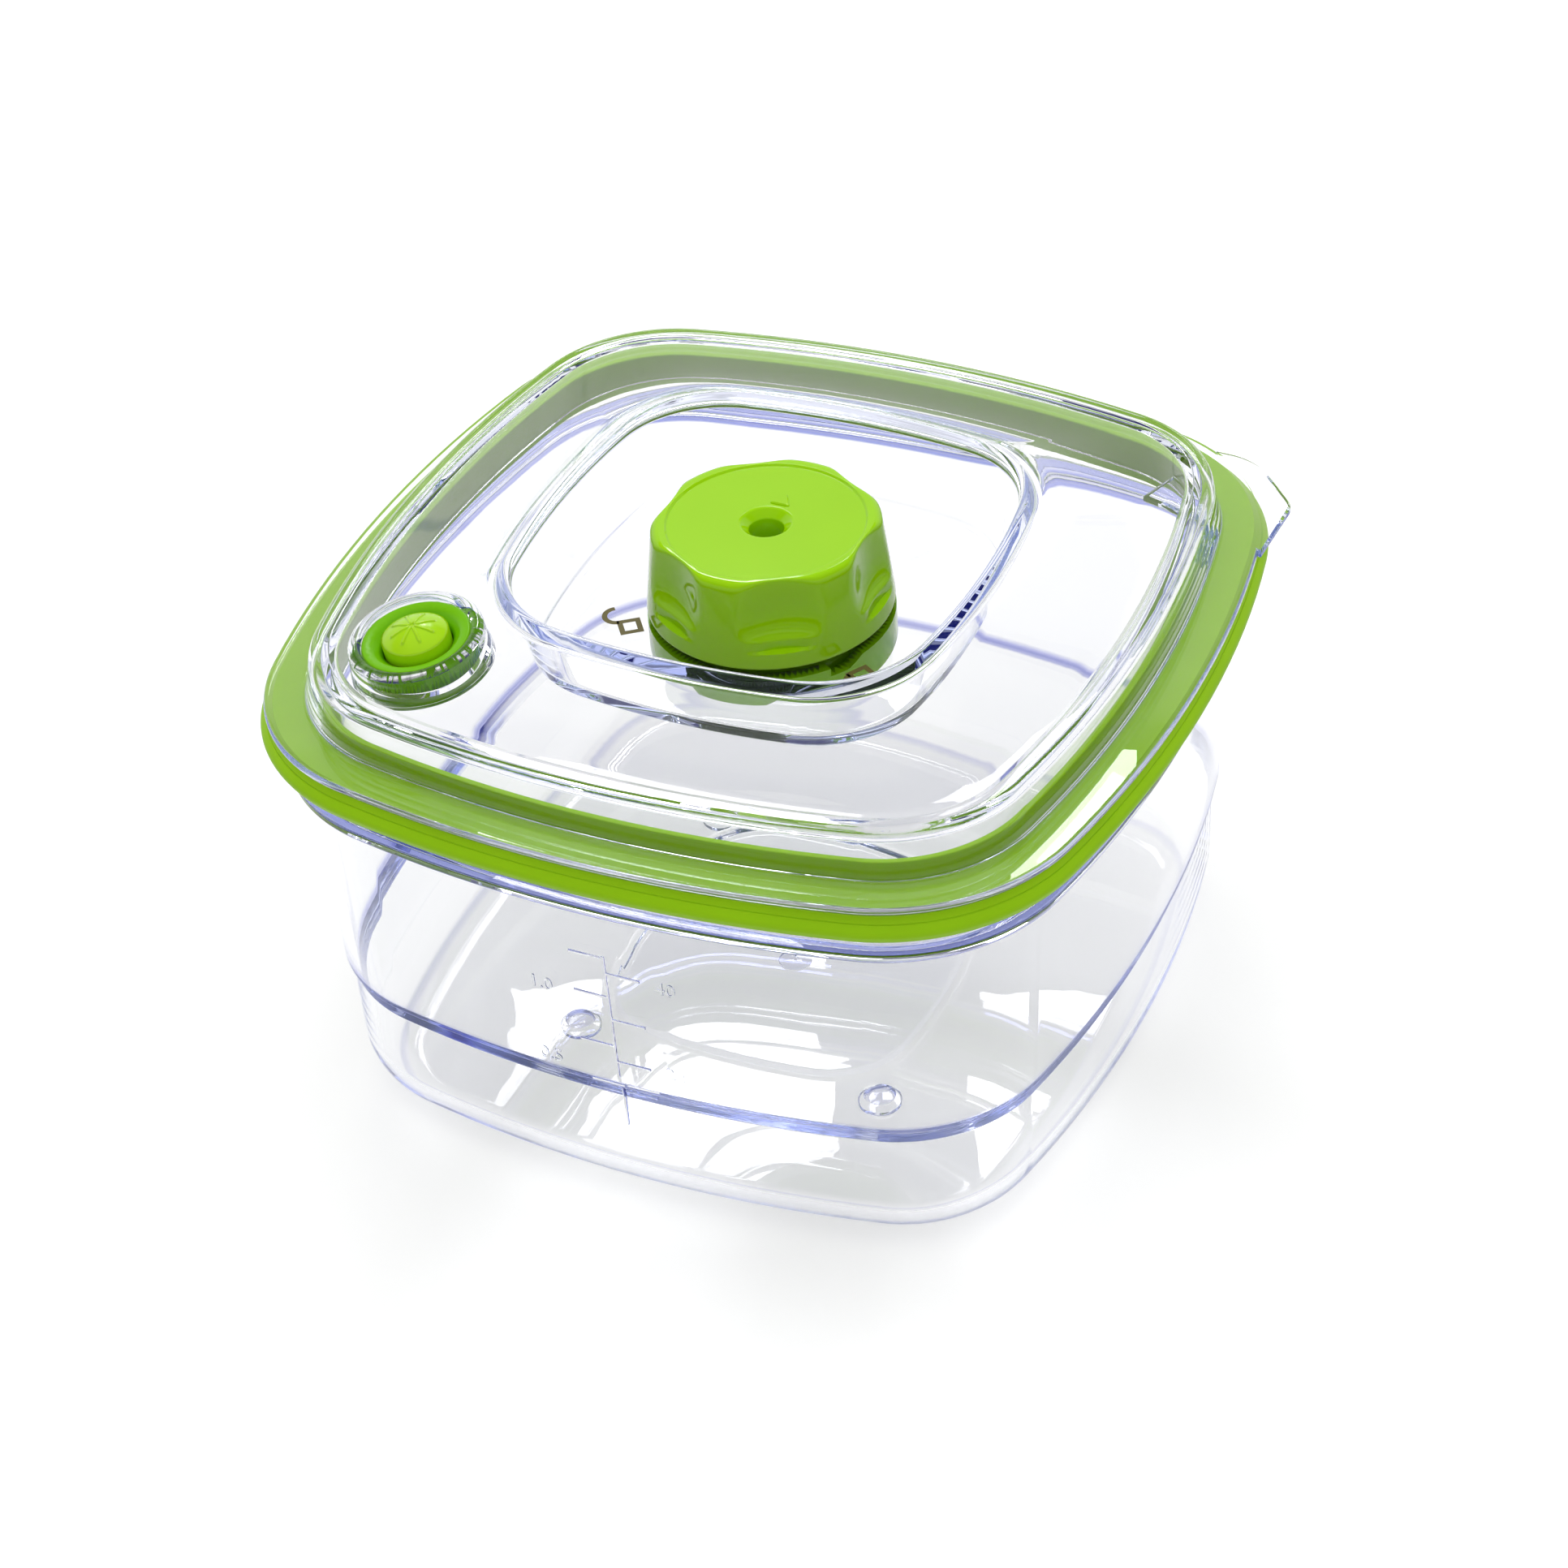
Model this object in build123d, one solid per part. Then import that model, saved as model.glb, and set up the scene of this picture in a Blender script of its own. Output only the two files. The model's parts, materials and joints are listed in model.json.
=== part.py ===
from build123d import *
import math
import os

# Square food canister that is pumped empty of air, with its lid on.
# Millimetres, +Z up, origin on the table at the middle of the container.
# The scale marks are on the front wall, towards -Y. The lid's pull tab is at +X +Y.

# Lid flange: the outline that every moulded wall runs parallel to
lid_half = 86.0
lid_corner_radius = 38.8
lid_side_radius = 256.0
flange_height = 92.0
flange_thickness = 1.8
flange_edge_round = 0.6
flange_width = 8.1

# Lid ridge, a hollow wall that stands on the flange
ridge_foot_round = 0.9
ridge_lean_width = 1.6
ridge_height = 9.2
ridge_outer_round = 2.1
ridge_crest_width = 3.7
ridge_inner_round = 0.5
ridge_wall = 1.8
ridge_crown = 2.6
ridge_fall_width = 1.6
crease_height = 8.4
skirt_gap = 3.9
skirt_thickness = 1.5
skirt_depth = 4.2

# Lid dome, from the crease up to the rim of the well
lid_thickness = 2.2
dome_top_height = 16.4
dome_power = 3
dome_slope_share = 0.25
dome_section_shares = (0, 0.25, 0.5, 0.75, 1)
rim_round = 0.85

# Well in the middle of the lid
well_rim_half = 44.5
well_rim_corner_radius = 22.2
well_rim_side_radius = 164.0
well_rim_width = 1.9
well_lean_width = 5.4
well_floor_corner_radius = 19.8
well_floor_side_radius = 143.5
well_floor_drop = 1.0
well_floor_round = 1.5

# Pull tab at the lid's corner
tab_start_shares = (0.729, 0.887)
tab_bulge_shares = (0.88, 0.838)
tab_corner_shares = (0.965, 0.734)
tab_end_shares = (0.96, 0.534)
tab_corner_round = 5.0

# Container wall
wall_thickness = 2.2
wall_inset = 5.8
wall_top_drop = 3.4
wall_top_round = 0.7
ledge_width = 2.8
ledge_drop = 13.1
ledge_thickness = 1.8
ledge_round = 0.6
rim_draft = 0.1
upper_wall_draft = 2.2
shoulder_height = 32.2
shoulder_step = 1.3
shoulder_rise = 1.0
lower_wall_draft = 0.8
base_round = 11.5
floor_thickness = 2.4

# Container floor pad and feet
foot_height = 1.0
foot_radius = 4.2
foot_spacing = 65.0
foot_dimple_radius = 2.9
foot_dimple_depth = 0.9
gate_radius = 3.4
gate_depth = 0.6
pad_half = 34.0
pad_corner_radius = 17.5
pad_side_radius = 140.0
pad_rise = 1.0
pad_slope_width = 1.4

# Raised scale on the front wall
mark_line_width = 0.55
mark_relief = 0.3
mark_x = 0.5
mark_bottom = 21.5
mark_top = 65.3
mark_length = 7.0
left_mark_heights = (29.8, 42.7, 55.0, 64.7)
right_mark_heights = (30.3, 38.7, 49.4, 61.0)

# Lid gasket
gasket_reach = 1.4
gasket_depth = 7.6
gasket_lip_drop = 5.2
gasket_bead_round = 1.3
gasket_seat_inset = 1.7
gasket_tongue_height = 2.3
gasket_leg_depth = 6.8
gasket_tongue_width = 0.9
gasket_round = 0.4
soft_clearance = 0.35

# Knob
knob_radius = 23.9
knob_top_radius = 21.9
knob_gap = 1.1
knob_height = 17.9
knob_wall = 3.4
knob_top_thickness = 3.2
knob_edge_round = 1.7
knob_skirt_round = 0.5
disc_radius = 18.9
disc_depth = 0.4
nozzle_radius = 3.35
nozzle_chamfer_radius = 5.0
nozzle_chamfer_depth = 1.5
nozzle_depth = 7.0
dimple_count = 6
dimple_radius = 19.0
dimple_depth = 2.3
dimple_bottom = 6.0
dimple_scoop = 5.3
arrow_tip = 9.9
arrow_base = 6.0
arrow_half_width = 2.2
arrow_rise = 0.35

# Sleeve inside the knob, which the stem screws into, and the snap hooks
sleeve_radius = 7.2
sleeve_bore_radius = 5.2
sleeve_bottom = 4.6
hook_count = 3
hook_angle = 34.0
hook_thickness = 1.6
hook_barb_height = 1.2
hook_clearance = 0.35
seal_height = 1.2
seal_squeeze = 0.75

# Valve housing under the well floor, with its neck through the lid
housing_radius = 23.9
housing_bottom_drop = 10.3
housing_wall = 2.4
housing_floor = 2.2
housing_round = 0.8
housing_seat_gap = 0.05
neck_radius = 11.8
neck_bore_radius = 8.0
neck_top = 3.6
hub_clearance = 0.2
valve_port_radius = 4.9
notch_angle = -33.0
notch_width = 4.2
notch_depth = 1.7
notch_ramp = 3.4
key_count = 2
key_width = 2.0
key_depth = 1.3
key_clearance = 0.3

# Ring nut that clamps the housing to the lid
nut_radius = 15.8
nut_groove_radius = 14.2
nut_height = 4.0
nut_flange_thickness = 1.3
nut_slot_count = 6
nut_slot_width = 3.0
nut_slot_depth = 1.4
thread_clearance = 0.05

# Flat seal between the housing and the lid
washer_inset = 3.0
washer_thickness = 1.1

# Valve stem, drawn half way along its travel
stem_radius = 3.9
stem_bore_radius = 1.8
stem_top = 8.4
stem_collar_radius = 7.5
stem_collar_top = 0.4
stem_collar_height = 2.8
stem_pocket_radius = 4.0
stem_pocket_depth = 3.2
stem_foot_radius = 2.7
stem_foot_length = 3.2
stem_port_radius = 0.9
valve_travel = 1.0
valve_closed_gap = 0.3
o_ring_section = 0.8
o_ring_gap = 0.1

# Valve disc, clip, check valve and spring
valve_disc_radius = 8.2
valve_disc_thickness = 1.5
valve_disc_lip = 0.6
clip_radius = 4.4
clip_thickness = 0.8
clip_gap_width = 2.4
check_valve_radius = 3.9
check_valve_thickness = 1.0
check_valve_slit = 0.4
check_valve_length = 2.6
spring_wire_radius = 0.4
wire_sides = 6
spring_radius = 6.1
spring_turns = 4
spring_washer_thickness = 0.5
spring_washer_radius = 7.4

# Slotted cap over the valve disc
cap_radius = 12.3
cap_wall = 1.2
cap_floor = 1.0
cap_depth = 6.9
cap_groove_depth = 1.0
cap_clearance = 0.05
cap_slot_count = 8
cap_slot_width = 1.8
cap_slot_inner = 4.0
cap_slot_outer = 9.6

# Vacuum indicator in the lid's corner
indicator_inset = 36.5
indicator_height = 13.2
indicator_tilt = 8.2
indicator_bearing = 225.0
boss_radius = 12.9
boss_draft = 0.9
boss_length = 8.5
boss_bore_radius = 12.0
boss_lip_radius = 10.6
boss_lip_thickness = 1.8
boss_outer_round = 1.1
boss_inner_round = 0.9
plug_height = 3.7
plug_clearance = 0.05
plug_collar_clearance = 0.15
plug_collar_rise = 0.9
dish_radius = 8.8
dish_depth = 1.9
plug_cup_radius = 8.3
plug_web = 0.8
button_radius = 6.5
button_clearance = 0.3
button_crown_drop = 0.4
button_crown = 2.2
button_depth = 4.4
button_wall = 1.3
button_rib_count = 8
button_rib_width = 0.5
button_rib_rise = 0.2
button_rib_share = 0.6
button_spring_radius = 4.2
button_spring_turns = 3

overrun = 5.0

# Places that follow from the sizes above
ridge_foot_half = lid_half - flange_width
ridge_top_half = ridge_foot_half - ridge_lean_width
crease_half = ridge_top_half - ridge_crest_width - ridge_fall_width
skirt_half = ridge_foot_half - skirt_gap
well_floor_half = well_rim_half - well_lean_width
wall_top_half = lid_half - wall_inset
ledge_half = wall_top_half + ledge_width
neck_half = wall_top_half - rim_draft
shoulder_half = neck_half - upper_wall_draft
lower_wall_half = shoulder_half - shoulder_step - lower_wall_draft
gasket_half = lid_half + gasket_reach
indicator_place = indicator_inset - lid_half
well_floor_z = flange_height - well_floor_drop
floor_underside_z = well_floor_z - lid_thickness
wall_top_z = flange_height - wall_top_drop
ledge_z = flange_height - ledge_drop
rim_z = flange_height + dome_top_height
knob_base_z = well_floor_z + knob_gap
knob_top_z = flange_height + knob_height
disc_z = knob_top_z - disc_depth
housing_top_z = floor_underside_z - housing_seat_gap
housing_bottom_z = flange_height - housing_bottom_drop
plate_top_z = housing_bottom_z + housing_floor
washer_radius = housing_radius - housing_wall - washer_inset
stem_rest_top_z = flange_height + stem_top
collar_top_z = flange_height + stem_collar_top
collar_bottom_z = collar_top_z - stem_collar_height
disc_top_z = housing_bottom_z - valve_closed_gap - valve_travel
spring_seat_z = plate_top_z + spring_washer_thickness


def corner_centre(half, corner_radius, side_radius):
    """Distance of a corner arc's centre from both middle planes."""
    reach = side_radius - half
    span = side_radius - corner_radius
    return (math.sqrt(2 * span ** 2 - reach ** 2) - reach) / 2


def outline(half, corner_radius, side_radius, z=0):
    """Square with bowed sides and tangent round corners, as a face at height z."""
    centre = corner_centre(half, corner_radius, side_radius)
    reach = side_radius - half
    turn = math.atan2(centre, centre + reach)
    tangent_x = side_radius * math.cos(turn) - reach
    tangent_y = side_radius * math.sin(turn)
    tip = centre + corner_radius * math.sqrt(0.5)
    side = ThreePointArc((tangent_x, -tangent_y), (half, 0), (tangent_x, tangent_y))
    corner = ThreePointArc((tangent_x, tangent_y), (tip, tip), (tangent_y, tangent_x))
    edges = []
    for quarter in range(4):
        edges += [Rot(0, 0, 90 * quarter) * side, Rot(0, 0, 90 * quarter) * corner]
    return Pos(0, 0, z) * make_face(edges)


def parallel_outline(half, z=0):
    """Outline parallel to the lid flange, with its own half width."""
    inset = lid_half - half
    return outline(half, lid_corner_radius - inset, lid_side_radius - inset, z)


def section(points, rounds):
    """Closed profile in half width and height, with named corners rounded."""
    radii = [rounds.get(index, 0) for index in range(len(points))]
    edges = []
    starts, ends = [], []
    count = len(points)
    for index, point in enumerate(points):
        here = Vector(*point)
        before = (Vector(*points[index - 1]) - here).normalized()
        after = (Vector(*points[(index + 1) % count]) - here).normalized()
        radius = radii[index]
        if radius == 0:
            starts.append(here)
            ends.append(here)
            continue
        half_angle = math.radians(before.get_angle(after)) / 2
        reach = radius / math.tan(half_angle)
        middle = (before + after).normalized()
        centre = here + middle * (radius / math.sin(half_angle))
        starts.append(here + before * reach)
        ends.append(here + after * reach)
        edges.append(ThreePointArc(starts[-1], centre - middle * radius, ends[-1]))
    for index in range(count):
        edges.append(Line(ends[index], starts[(index + 1) % count]))
    return Plane.XZ * make_face(edges)


def ring(profile):
    """Moulded ring that follows the lid's outline with a constant profile."""
    reach = lid_side_radius - lid_half
    centre = corner_centre(lid_half, lid_corner_radius, lid_side_radius)
    turn = math.degrees(math.atan2(centre, centre + reach))
    side_axis = Axis((-reach, 0, 0), (0, 0, 1))
    corner_axis = Axis((centre, centre, 0), (0, 0, 1))
    side = revolve(profile.rotate(side_axis, -turn), side_axis, 2 * turn)
    corner = revolve(profile.rotate(side_axis, turn), corner_axis, 90 - 2 * turn)
    body = side + corner
    half = body + Rot(0, 0, 90) * body
    return half + Rot(0, 0, 180) * half


def turned(points, rounds=None):
    """Solid of revolution about Z from points of radius and height."""
    return revolve(section(points, rounds or {}), Axis.Z)


def disc(radius, bottom, top):
    """Plain upright cylinder between two heights."""
    return Pos(0, 0, bottom) * extrude(Circle(radius), top - bottom)


def tube(outer, inner, bottom, top):
    """Plain upright tube between two heights."""
    return disc(outer, bottom, top) - disc(inner, bottom - overrun, top + overrun)


def coil(radius, wire_radius, turns, bottom, top):
    """Compression spring, drawn at its working length between two seats."""
    height = top - bottom - 2 * wire_radius
    path = Pos(0, 0, bottom + wire_radius) * Helix(height / turns, height, radius)
    wire = Plane(origin=path @ 0, z_dir=path % 0) * RegularPolygon(wire_radius, wire_sides)
    return sweep(wire, path=path)


def container_section(offset, top, low):
    """Wall profile moved inwards by offset, as points from the top down to low."""
    return [
        (wall_top_half - offset, top),
        (neck_half - offset, ledge_z - ledge_thickness),
        (shoulder_half - offset, shoulder_height),
        (shoulder_half - shoulder_step - offset, shoulder_height - shoulder_rise),
        (lower_wall_half - offset, low),
    ]


def make_container():
    """Clear tub with its rim ledge, stepped wall, rounded base, feet and scale."""
    base_z = foot_height
    floor_z = base_z + floor_thickness
    bottom_half = lower_wall_half - base_round - overrun
    outer = container_section(0, wall_top_z, base_z)
    inner = container_section(wall_thickness, wall_top_z, floor_z)
    profile = outer + [(bottom_half, base_z), (bottom_half, floor_z)] + inner[::-1]
    rounds = {0: wall_top_round, 4: base_round, 7: base_round - wall_thickness, 11: wall_top_round}
    body = ring(section(profile, rounds))
    ledge_root = neck_half - wall_thickness / 2
    ledge = [
        (ledge_root, ledge_z - ledge_thickness),
        (ledge_half, ledge_z - ledge_thickness),
        (ledge_half, ledge_z),
        (ledge_root, ledge_z),
    ]
    body += ring(section(ledge, {1: ledge_round, 2: ledge_round}))
    body += extrude(parallel_outline(bottom_half, base_z), floor_thickness)
    body += pad(floor_z)
    body -= pad(base_z)
    gate_top = base_z + pad_rise + gate_depth
    body -= disc(gate_radius, gate_top - gate_depth - pad_rise, gate_top)
    for x in (-foot_spacing / 2, foot_spacing / 2):
        for y in (-foot_spacing / 2, foot_spacing / 2):
            body += Pos(x, y, 0) * disc(foot_radius, 0, base_z + floor_thickness / 2)
            dimple = disc(foot_dimple_radius, floor_z - foot_dimple_depth, floor_z + overrun)
            body -= Pos(x, y, 0) * dimple
    return body + scale_marks()


def pad(bottom):
    """Raised panel in the middle of the floor, with sloping edges."""
    top_half = pad_half - pad_slope_width
    low = outline(pad_half, pad_corner_radius, pad_side_radius, bottom)
    top_corner = pad_corner_radius - pad_slope_width
    high = outline(top_half, top_corner, pad_side_radius - pad_slope_width, bottom + pad_rise)
    return loft([low, high], ruled=True)


def scale_marks():
    """Raised measuring scale on the outside of the front wall."""
    skin = container_section(-mark_relief, wall_top_z, foot_height)[1:]
    under = container_section(wall_thickness / 2, wall_top_z, foot_height)[1:]
    shell = Rot(0, 0, -90) * front_sector(section(skin + under[::-1], {}))
    bars = bar(mark_x, mark_line_width, mark_bottom, mark_top)
    for z in left_mark_heights:
        bars += bar(mark_x - mark_length / 2, mark_length, z, z + mark_line_width)
    for z in right_mark_heights:
        bars += bar(mark_x + mark_length / 2, mark_length, z, z + mark_line_width)
    return shell & bars


def front_sector(profile):
    """Short stretch of wall about the middle of one side."""
    reach = lid_side_radius - lid_half
    side_axis = Axis((-reach, 0, 0), (0, 0, 1))
    turn = math.degrees(2 * mark_length / lid_side_radius)
    return revolve(profile.rotate(side_axis, -turn), side_axis, 2 * turn)


def bar(x, width, bottom, top):
    """Upright slab that picks one raised line out of the wall's skin."""
    return Pos(x, -lid_half, (bottom + top) / 2) * Box(width, lid_half, top - bottom)


def dome_outline(share):
    """The dome's outline at a share of the way from the crease to the well's rim."""
    inset = lid_half - crease_half
    crease = (crease_half, lid_corner_radius - inset, lid_side_radius - inset)
    rim = (well_rim_half, well_rim_corner_radius, well_rim_side_radius)
    sizes = [low + share * (high + well_rim_width - low) for low, high in zip(crease, rim)]
    rise_share = dome_slope_share * share + (1 - dome_slope_share) * share ** dome_power
    rise = (dome_top_height - crease_height) * rise_share
    return outline(*sizes, flange_height + crease_height + rise)


def well_block(spread, bottom, top):
    """Block the shape of the well, grown all round by spread, between two heights."""
    rise = (top - well_floor_z) / (rim_z - well_floor_z)
    fall = (bottom - well_floor_z) / (rim_z - well_floor_z)
    low = (well_floor_half, well_floor_corner_radius, well_floor_side_radius)
    high = (well_rim_half, well_rim_corner_radius, well_rim_side_radius)
    faces = []
    for share, z in ((fall, bottom), (rise, top)):
        sizes = [spread + near + share * (far - near) for near, far in zip(low, high)]
        faces.append(outline(*sizes, z))
    return loft(faces, ruled=True)


def indicator_frame():
    """Plane on the indicator boss's top, with Z along the boss."""
    centre = Pos(indicator_place, indicator_place, flange_height + indicator_height)
    return centre * Rot(0, 0, indicator_bearing) * Rot(0, indicator_tilt, 0)


def make_lid():
    """Clear lid: flange, hollow ridge, dome, well, hub hole, indicator boss and tab."""
    top = flange_height
    hollow_top = top + ridge_height - ridge_crown
    lean_share = ridge_lean_width / ridge_height
    profile = [
        (lid_half, top - flange_thickness),
        (lid_half, top),
        (ridge_foot_half, top),
        (ridge_top_half, top + ridge_height),
        (ridge_top_half - ridge_crest_width, top + ridge_height),
        (crease_half, top + crease_height),
        (crease_half - lid_thickness, top + crease_height),
        (crease_half - lid_thickness, top + crease_height - lid_thickness),
        (skirt_half - skirt_thickness, top + crease_height - lid_thickness),
        (skirt_half - skirt_thickness, top - skirt_depth),
        (skirt_half, top - skirt_depth),
        (skirt_half, hollow_top),
        (ridge_foot_half - ridge_wall - lean_share * (hollow_top - top), hollow_top),
        (ridge_foot_half - ridge_wall, top - flange_thickness),
    ]
    rounds = {1: flange_edge_round, 2: ridge_foot_round, 3: ridge_outer_round, 4: ridge_inner_round}
    lid = ring(section(profile, rounds))
    outer = [dome_outline(share) for share in dome_section_shares]
    inner = [Pos(0, 0, -lid_thickness) * face for face in outer]
    seat = extrude(inner[0], lid_thickness)
    lid += loft(outer) + seat - loft(inner)
    lid += well_block(lid_thickness, floor_underside_z, rim_z - rim_round)
    lid += indicator_frame() * boss()
    lid -= indicator_frame() * boss_bore()
    cavity = well_block(0, well_floor_z, rim_z + overrun)
    lid -= fillet(cavity.faces().sort_by(Axis.Z)[0].edges(), well_floor_round)
    lid = fillet(lid.faces().sort_by(Axis.Z)[-1].edges(), rim_round)
    lid -= disc(neck_radius + hub_clearance, floor_underside_z - overrun, well_floor_z + overrun)
    return lid + tab()


def boss():
    """Round boss for the indicator, tapered outside, with a rounded lip on top."""
    points = [
        (0, -boss_length),
        (boss_radius + boss_draft, -boss_length),
        (boss_radius, 0),
        (boss_lip_radius, 0),
        (boss_lip_radius, -boss_lip_thickness),
        (0, -boss_lip_thickness),
    ]
    return turned(points, {2: boss_outer_round, 3: boss_inner_round})


def boss_bore():
    """Space inside the boss: the plug's bore and the opening in the lip."""
    bore = disc(boss_bore_radius, -boss_length - overrun, -boss_lip_thickness)
    return bore + disc(boss_lip_radius, -boss_length, overrun)


def tab():
    """Flat pull tab that stands out from one corner of the flange."""
    centre = corner_centre(lid_half, lid_corner_radius, lid_side_radius)
    root = Vector(centre, centre)
    start, bulge, tip, end = [
        lid_half * Vector(*shares)
        for shares in (tab_start_shares, tab_bulge_shares, tab_corner_shares, tab_end_shares)
    ]
    face = make_face([Line(root, start), ThreePointArc(start, bulge, tip), Line(tip, end), Line(end, root)])
    face = fillet(face.vertices().sort_by_distance(tip)[0], tab_corner_round)
    plate = extrude(Pos(0, 0, flange_height - flange_thickness) * face, flange_thickness)
    lid_face = parallel_outline(lid_half - flange_edge_round, flange_height - 2 * flange_thickness)
    return plate - extrude(lid_face, 3 * flange_thickness)


def make_lid_gasket():
    """Silicone gasket: a bead round the flange, a groove for the wall and a tongue."""
    under = flange_height - flange_thickness
    groove_top = wall_top_z + soft_clearance
    groove_outer = wall_top_half + soft_clearance
    groove_inner = wall_top_half - wall_thickness - soft_clearance
    bottom = flange_height - gasket_depth
    leg_bottom = flange_height - gasket_leg_depth
    tongue_outer = ridge_foot_half - ridge_wall
    profile = [
        (lid_half - gasket_seat_inset, under),
        (gasket_half, flange_height - gasket_lip_drop),
        (gasket_half - gasket_bead_round, bottom),
        (groove_outer, bottom),
        (groove_outer, groove_top),
        (groove_inner, groove_top),
        (groove_inner, leg_bottom),
        (skirt_half, leg_bottom),
        (skirt_half, flange_height + gasket_tongue_height),
        (tongue_outer - gasket_tongue_width, flange_height + gasket_tongue_height),
        (tongue_outer, under),
    ]
    rounds = {1: gasket_bead_round, 2: gasket_bead_round, 3: gasket_round, 6: gasket_round}
    return ring(section(profile, rounds))


def make_knob():
    """Green knob: dimpled shell, nozzle bore, threaded sleeve and snap hooks."""
    roof_z = knob_top_z - knob_top_thickness
    shell = [
        (nozzle_radius, knob_top_z - nozzle_depth),
        (nozzle_radius, disc_z - nozzle_chamfer_depth),
        (nozzle_chamfer_radius, disc_z),
        (disc_radius, disc_z),
        (disc_radius + disc_depth, knob_top_z),
        (knob_top_radius, knob_top_z),
        (knob_radius, knob_base_z),
        (knob_radius - knob_wall, knob_base_z),
        (knob_top_radius - knob_wall, roof_z),
        (sleeve_radius, roof_z),
        (sleeve_radius, flange_height + sleeve_bottom),
        (sleeve_bore_radius, flange_height + sleeve_bottom),
        (sleeve_bore_radius, knob_top_z - nozzle_depth),
    ]
    knob = turned(shell, {2: nozzle_chamfer_depth / 2, 5: knob_edge_round, 6: knob_skirt_round})
    for index in range(dimple_count):
        knob -= Rot(0, 0, 360 / dimple_count * index) * dimple_cutter()
    for index in range(hook_count):
        knob += Rot(0, 0, 360 / hook_count * index) * hook(roof_z)
    arrow_corners = [(0, arrow_tip), (-arrow_half_width, arrow_base), (arrow_half_width, arrow_base)]
    arrow = make_face(Polyline(*arrow_corners, close=True))
    return knob + extrude(Pos(0, 0, disc_z) * arrow, arrow_rise)


def dimple_cutter():
    """Rounded cutter for one thumb dimple, on the +X side of the knob."""
    axis_radius = knob_top_radius - dimple_depth + dimple_radius
    scoop_z = knob_base_z + dimple_bottom + dimple_scoop
    points = [
        (0, knob_top_z + overrun),
        (0, knob_base_z + dimple_bottom),
        (dimple_radius - dimple_depth, knob_base_z + dimple_bottom),
        (dimple_radius, scoop_z),
        (dimple_radius, knob_top_z + overrun),
    ]
    return Pos(axis_radius, 0, 0) * turned(points, {2: dimple_depth, 3: dimple_scoop})


def hook(roof_z):
    """Snap hook that reaches from the knob's roof under the nut's flange."""
    face_radius = nut_radius + hook_clearance
    flange_z = well_floor_z + nut_height - nut_flange_thickness
    barb_top = flange_z - hook_clearance
    points = [
        (face_radius, roof_z + knob_wall / 2),
        (face_radius, barb_top),
        (nut_groove_radius + hook_clearance, barb_top),
        (face_radius, barb_top - hook_barb_height),
        (face_radius + hook_thickness, barb_top - hook_barb_height),
        (face_radius + hook_thickness, roof_z + knob_wall / 2),
    ]
    return revolve(section(points, {}), Axis.Z, hook_angle)


def make_nozzle_seal():
    """Silicone ring against the step above the stem, round the pump's nozzle."""
    top = knob_top_z - nozzle_depth
    return tube(sleeve_bore_radius, nozzle_radius - seal_squeeze, top - seal_height, top)


def make_valve_housing():
    """Green cup under the well floor, with a keyed neck up through the lid."""
    washer_z = floor_underside_z - washer_thickness
    groove_z = housing_bottom_z + cap_groove_depth
    groove_inner = cap_radius - cap_wall - cap_clearance
    cup = [
        (valve_port_radius, housing_bottom_z),
        (groove_inner, housing_bottom_z),
        (groove_inner, groove_z),
        (cap_radius + cap_clearance, groove_z),
        (cap_radius + cap_clearance, housing_bottom_z),
        (housing_radius, housing_bottom_z),
        (housing_radius, housing_top_z),
        (housing_radius - housing_wall, housing_top_z),
        (housing_radius - housing_wall, plate_top_z),
        (washer_radius, plate_top_z),
        (washer_radius, washer_z),
        (neck_radius, washer_z),
        (neck_radius, flange_height + neck_top),
        (neck_bore_radius, flange_height + neck_top),
        (neck_bore_radius, plate_top_z),
        (valve_port_radius, plate_top_z),
    ]
    housing = turned(cup, {5: housing_round})
    slot_width = key_width + 2 * key_clearance
    slot_reach = neck_bore_radius + key_depth + key_clearance
    slot_height = flange_height + neck_top - plate_top_z
    for index in range(key_count):
        slot = Box(slot_reach, slot_width, 2 * slot_height)
        slot = Pos(slot_reach / 2, 0, plate_top_z + slot_height) * slot & disc(slot_reach, plate_top_z, rim_z)
        housing -= Rot(0, 0, 360 / key_count * index) * slot
    return housing - Rot(0, 0, notch_angle) * notch()


def notch():
    """Ramped notch in the housing's rim, the index mark beside the printed sign."""
    middle = housing_radius - housing_wall / 2
    edges = Polyline(
        (-notch_width / 2, housing_top_z + overrun),
        (-notch_width / 2, housing_top_z - notch_depth),
        (notch_width / 2, housing_top_z - notch_depth),
        (notch_width / 2 + notch_ramp, housing_top_z),
        (notch_width / 2 + notch_ramp, housing_top_z + overrun),
        close=True,
    )
    face = Plane.YZ * make_face(edges)
    return Pos(middle - housing_wall, 0, 0) * extrude(face, 2 * housing_wall)


def make_housing_gasket():
    """Flat silicone ring that seals the housing to the underside of the lid."""
    washer_z = floor_underside_z - washer_thickness
    return tube(washer_radius, neck_radius + hub_clearance, washer_z, floor_underside_z)


def make_clamp_nut():
    """Ring nut on the neck, with a flange for the knob's hooks and spanner slots."""
    top = well_floor_z + nut_height
    bore = neck_radius + thread_clearance
    points = [
        (bore, well_floor_z),
        (nut_groove_radius, well_floor_z),
        (nut_groove_radius, top - nut_flange_thickness),
        (nut_radius, top - nut_flange_thickness),
        (nut_radius, top),
        (bore, top),
    ]
    nut = turned(points)
    slot = Box(nut_slot_depth, nut_slot_width, 2 * nut_height)
    slot = Pos(nut_radius - nut_slot_depth / 2, 0, top) * slot
    for index in range(nut_slot_count):
        nut -= Rot(0, 0, 360 / nut_slot_count * index) * slot
    return nut


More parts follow.
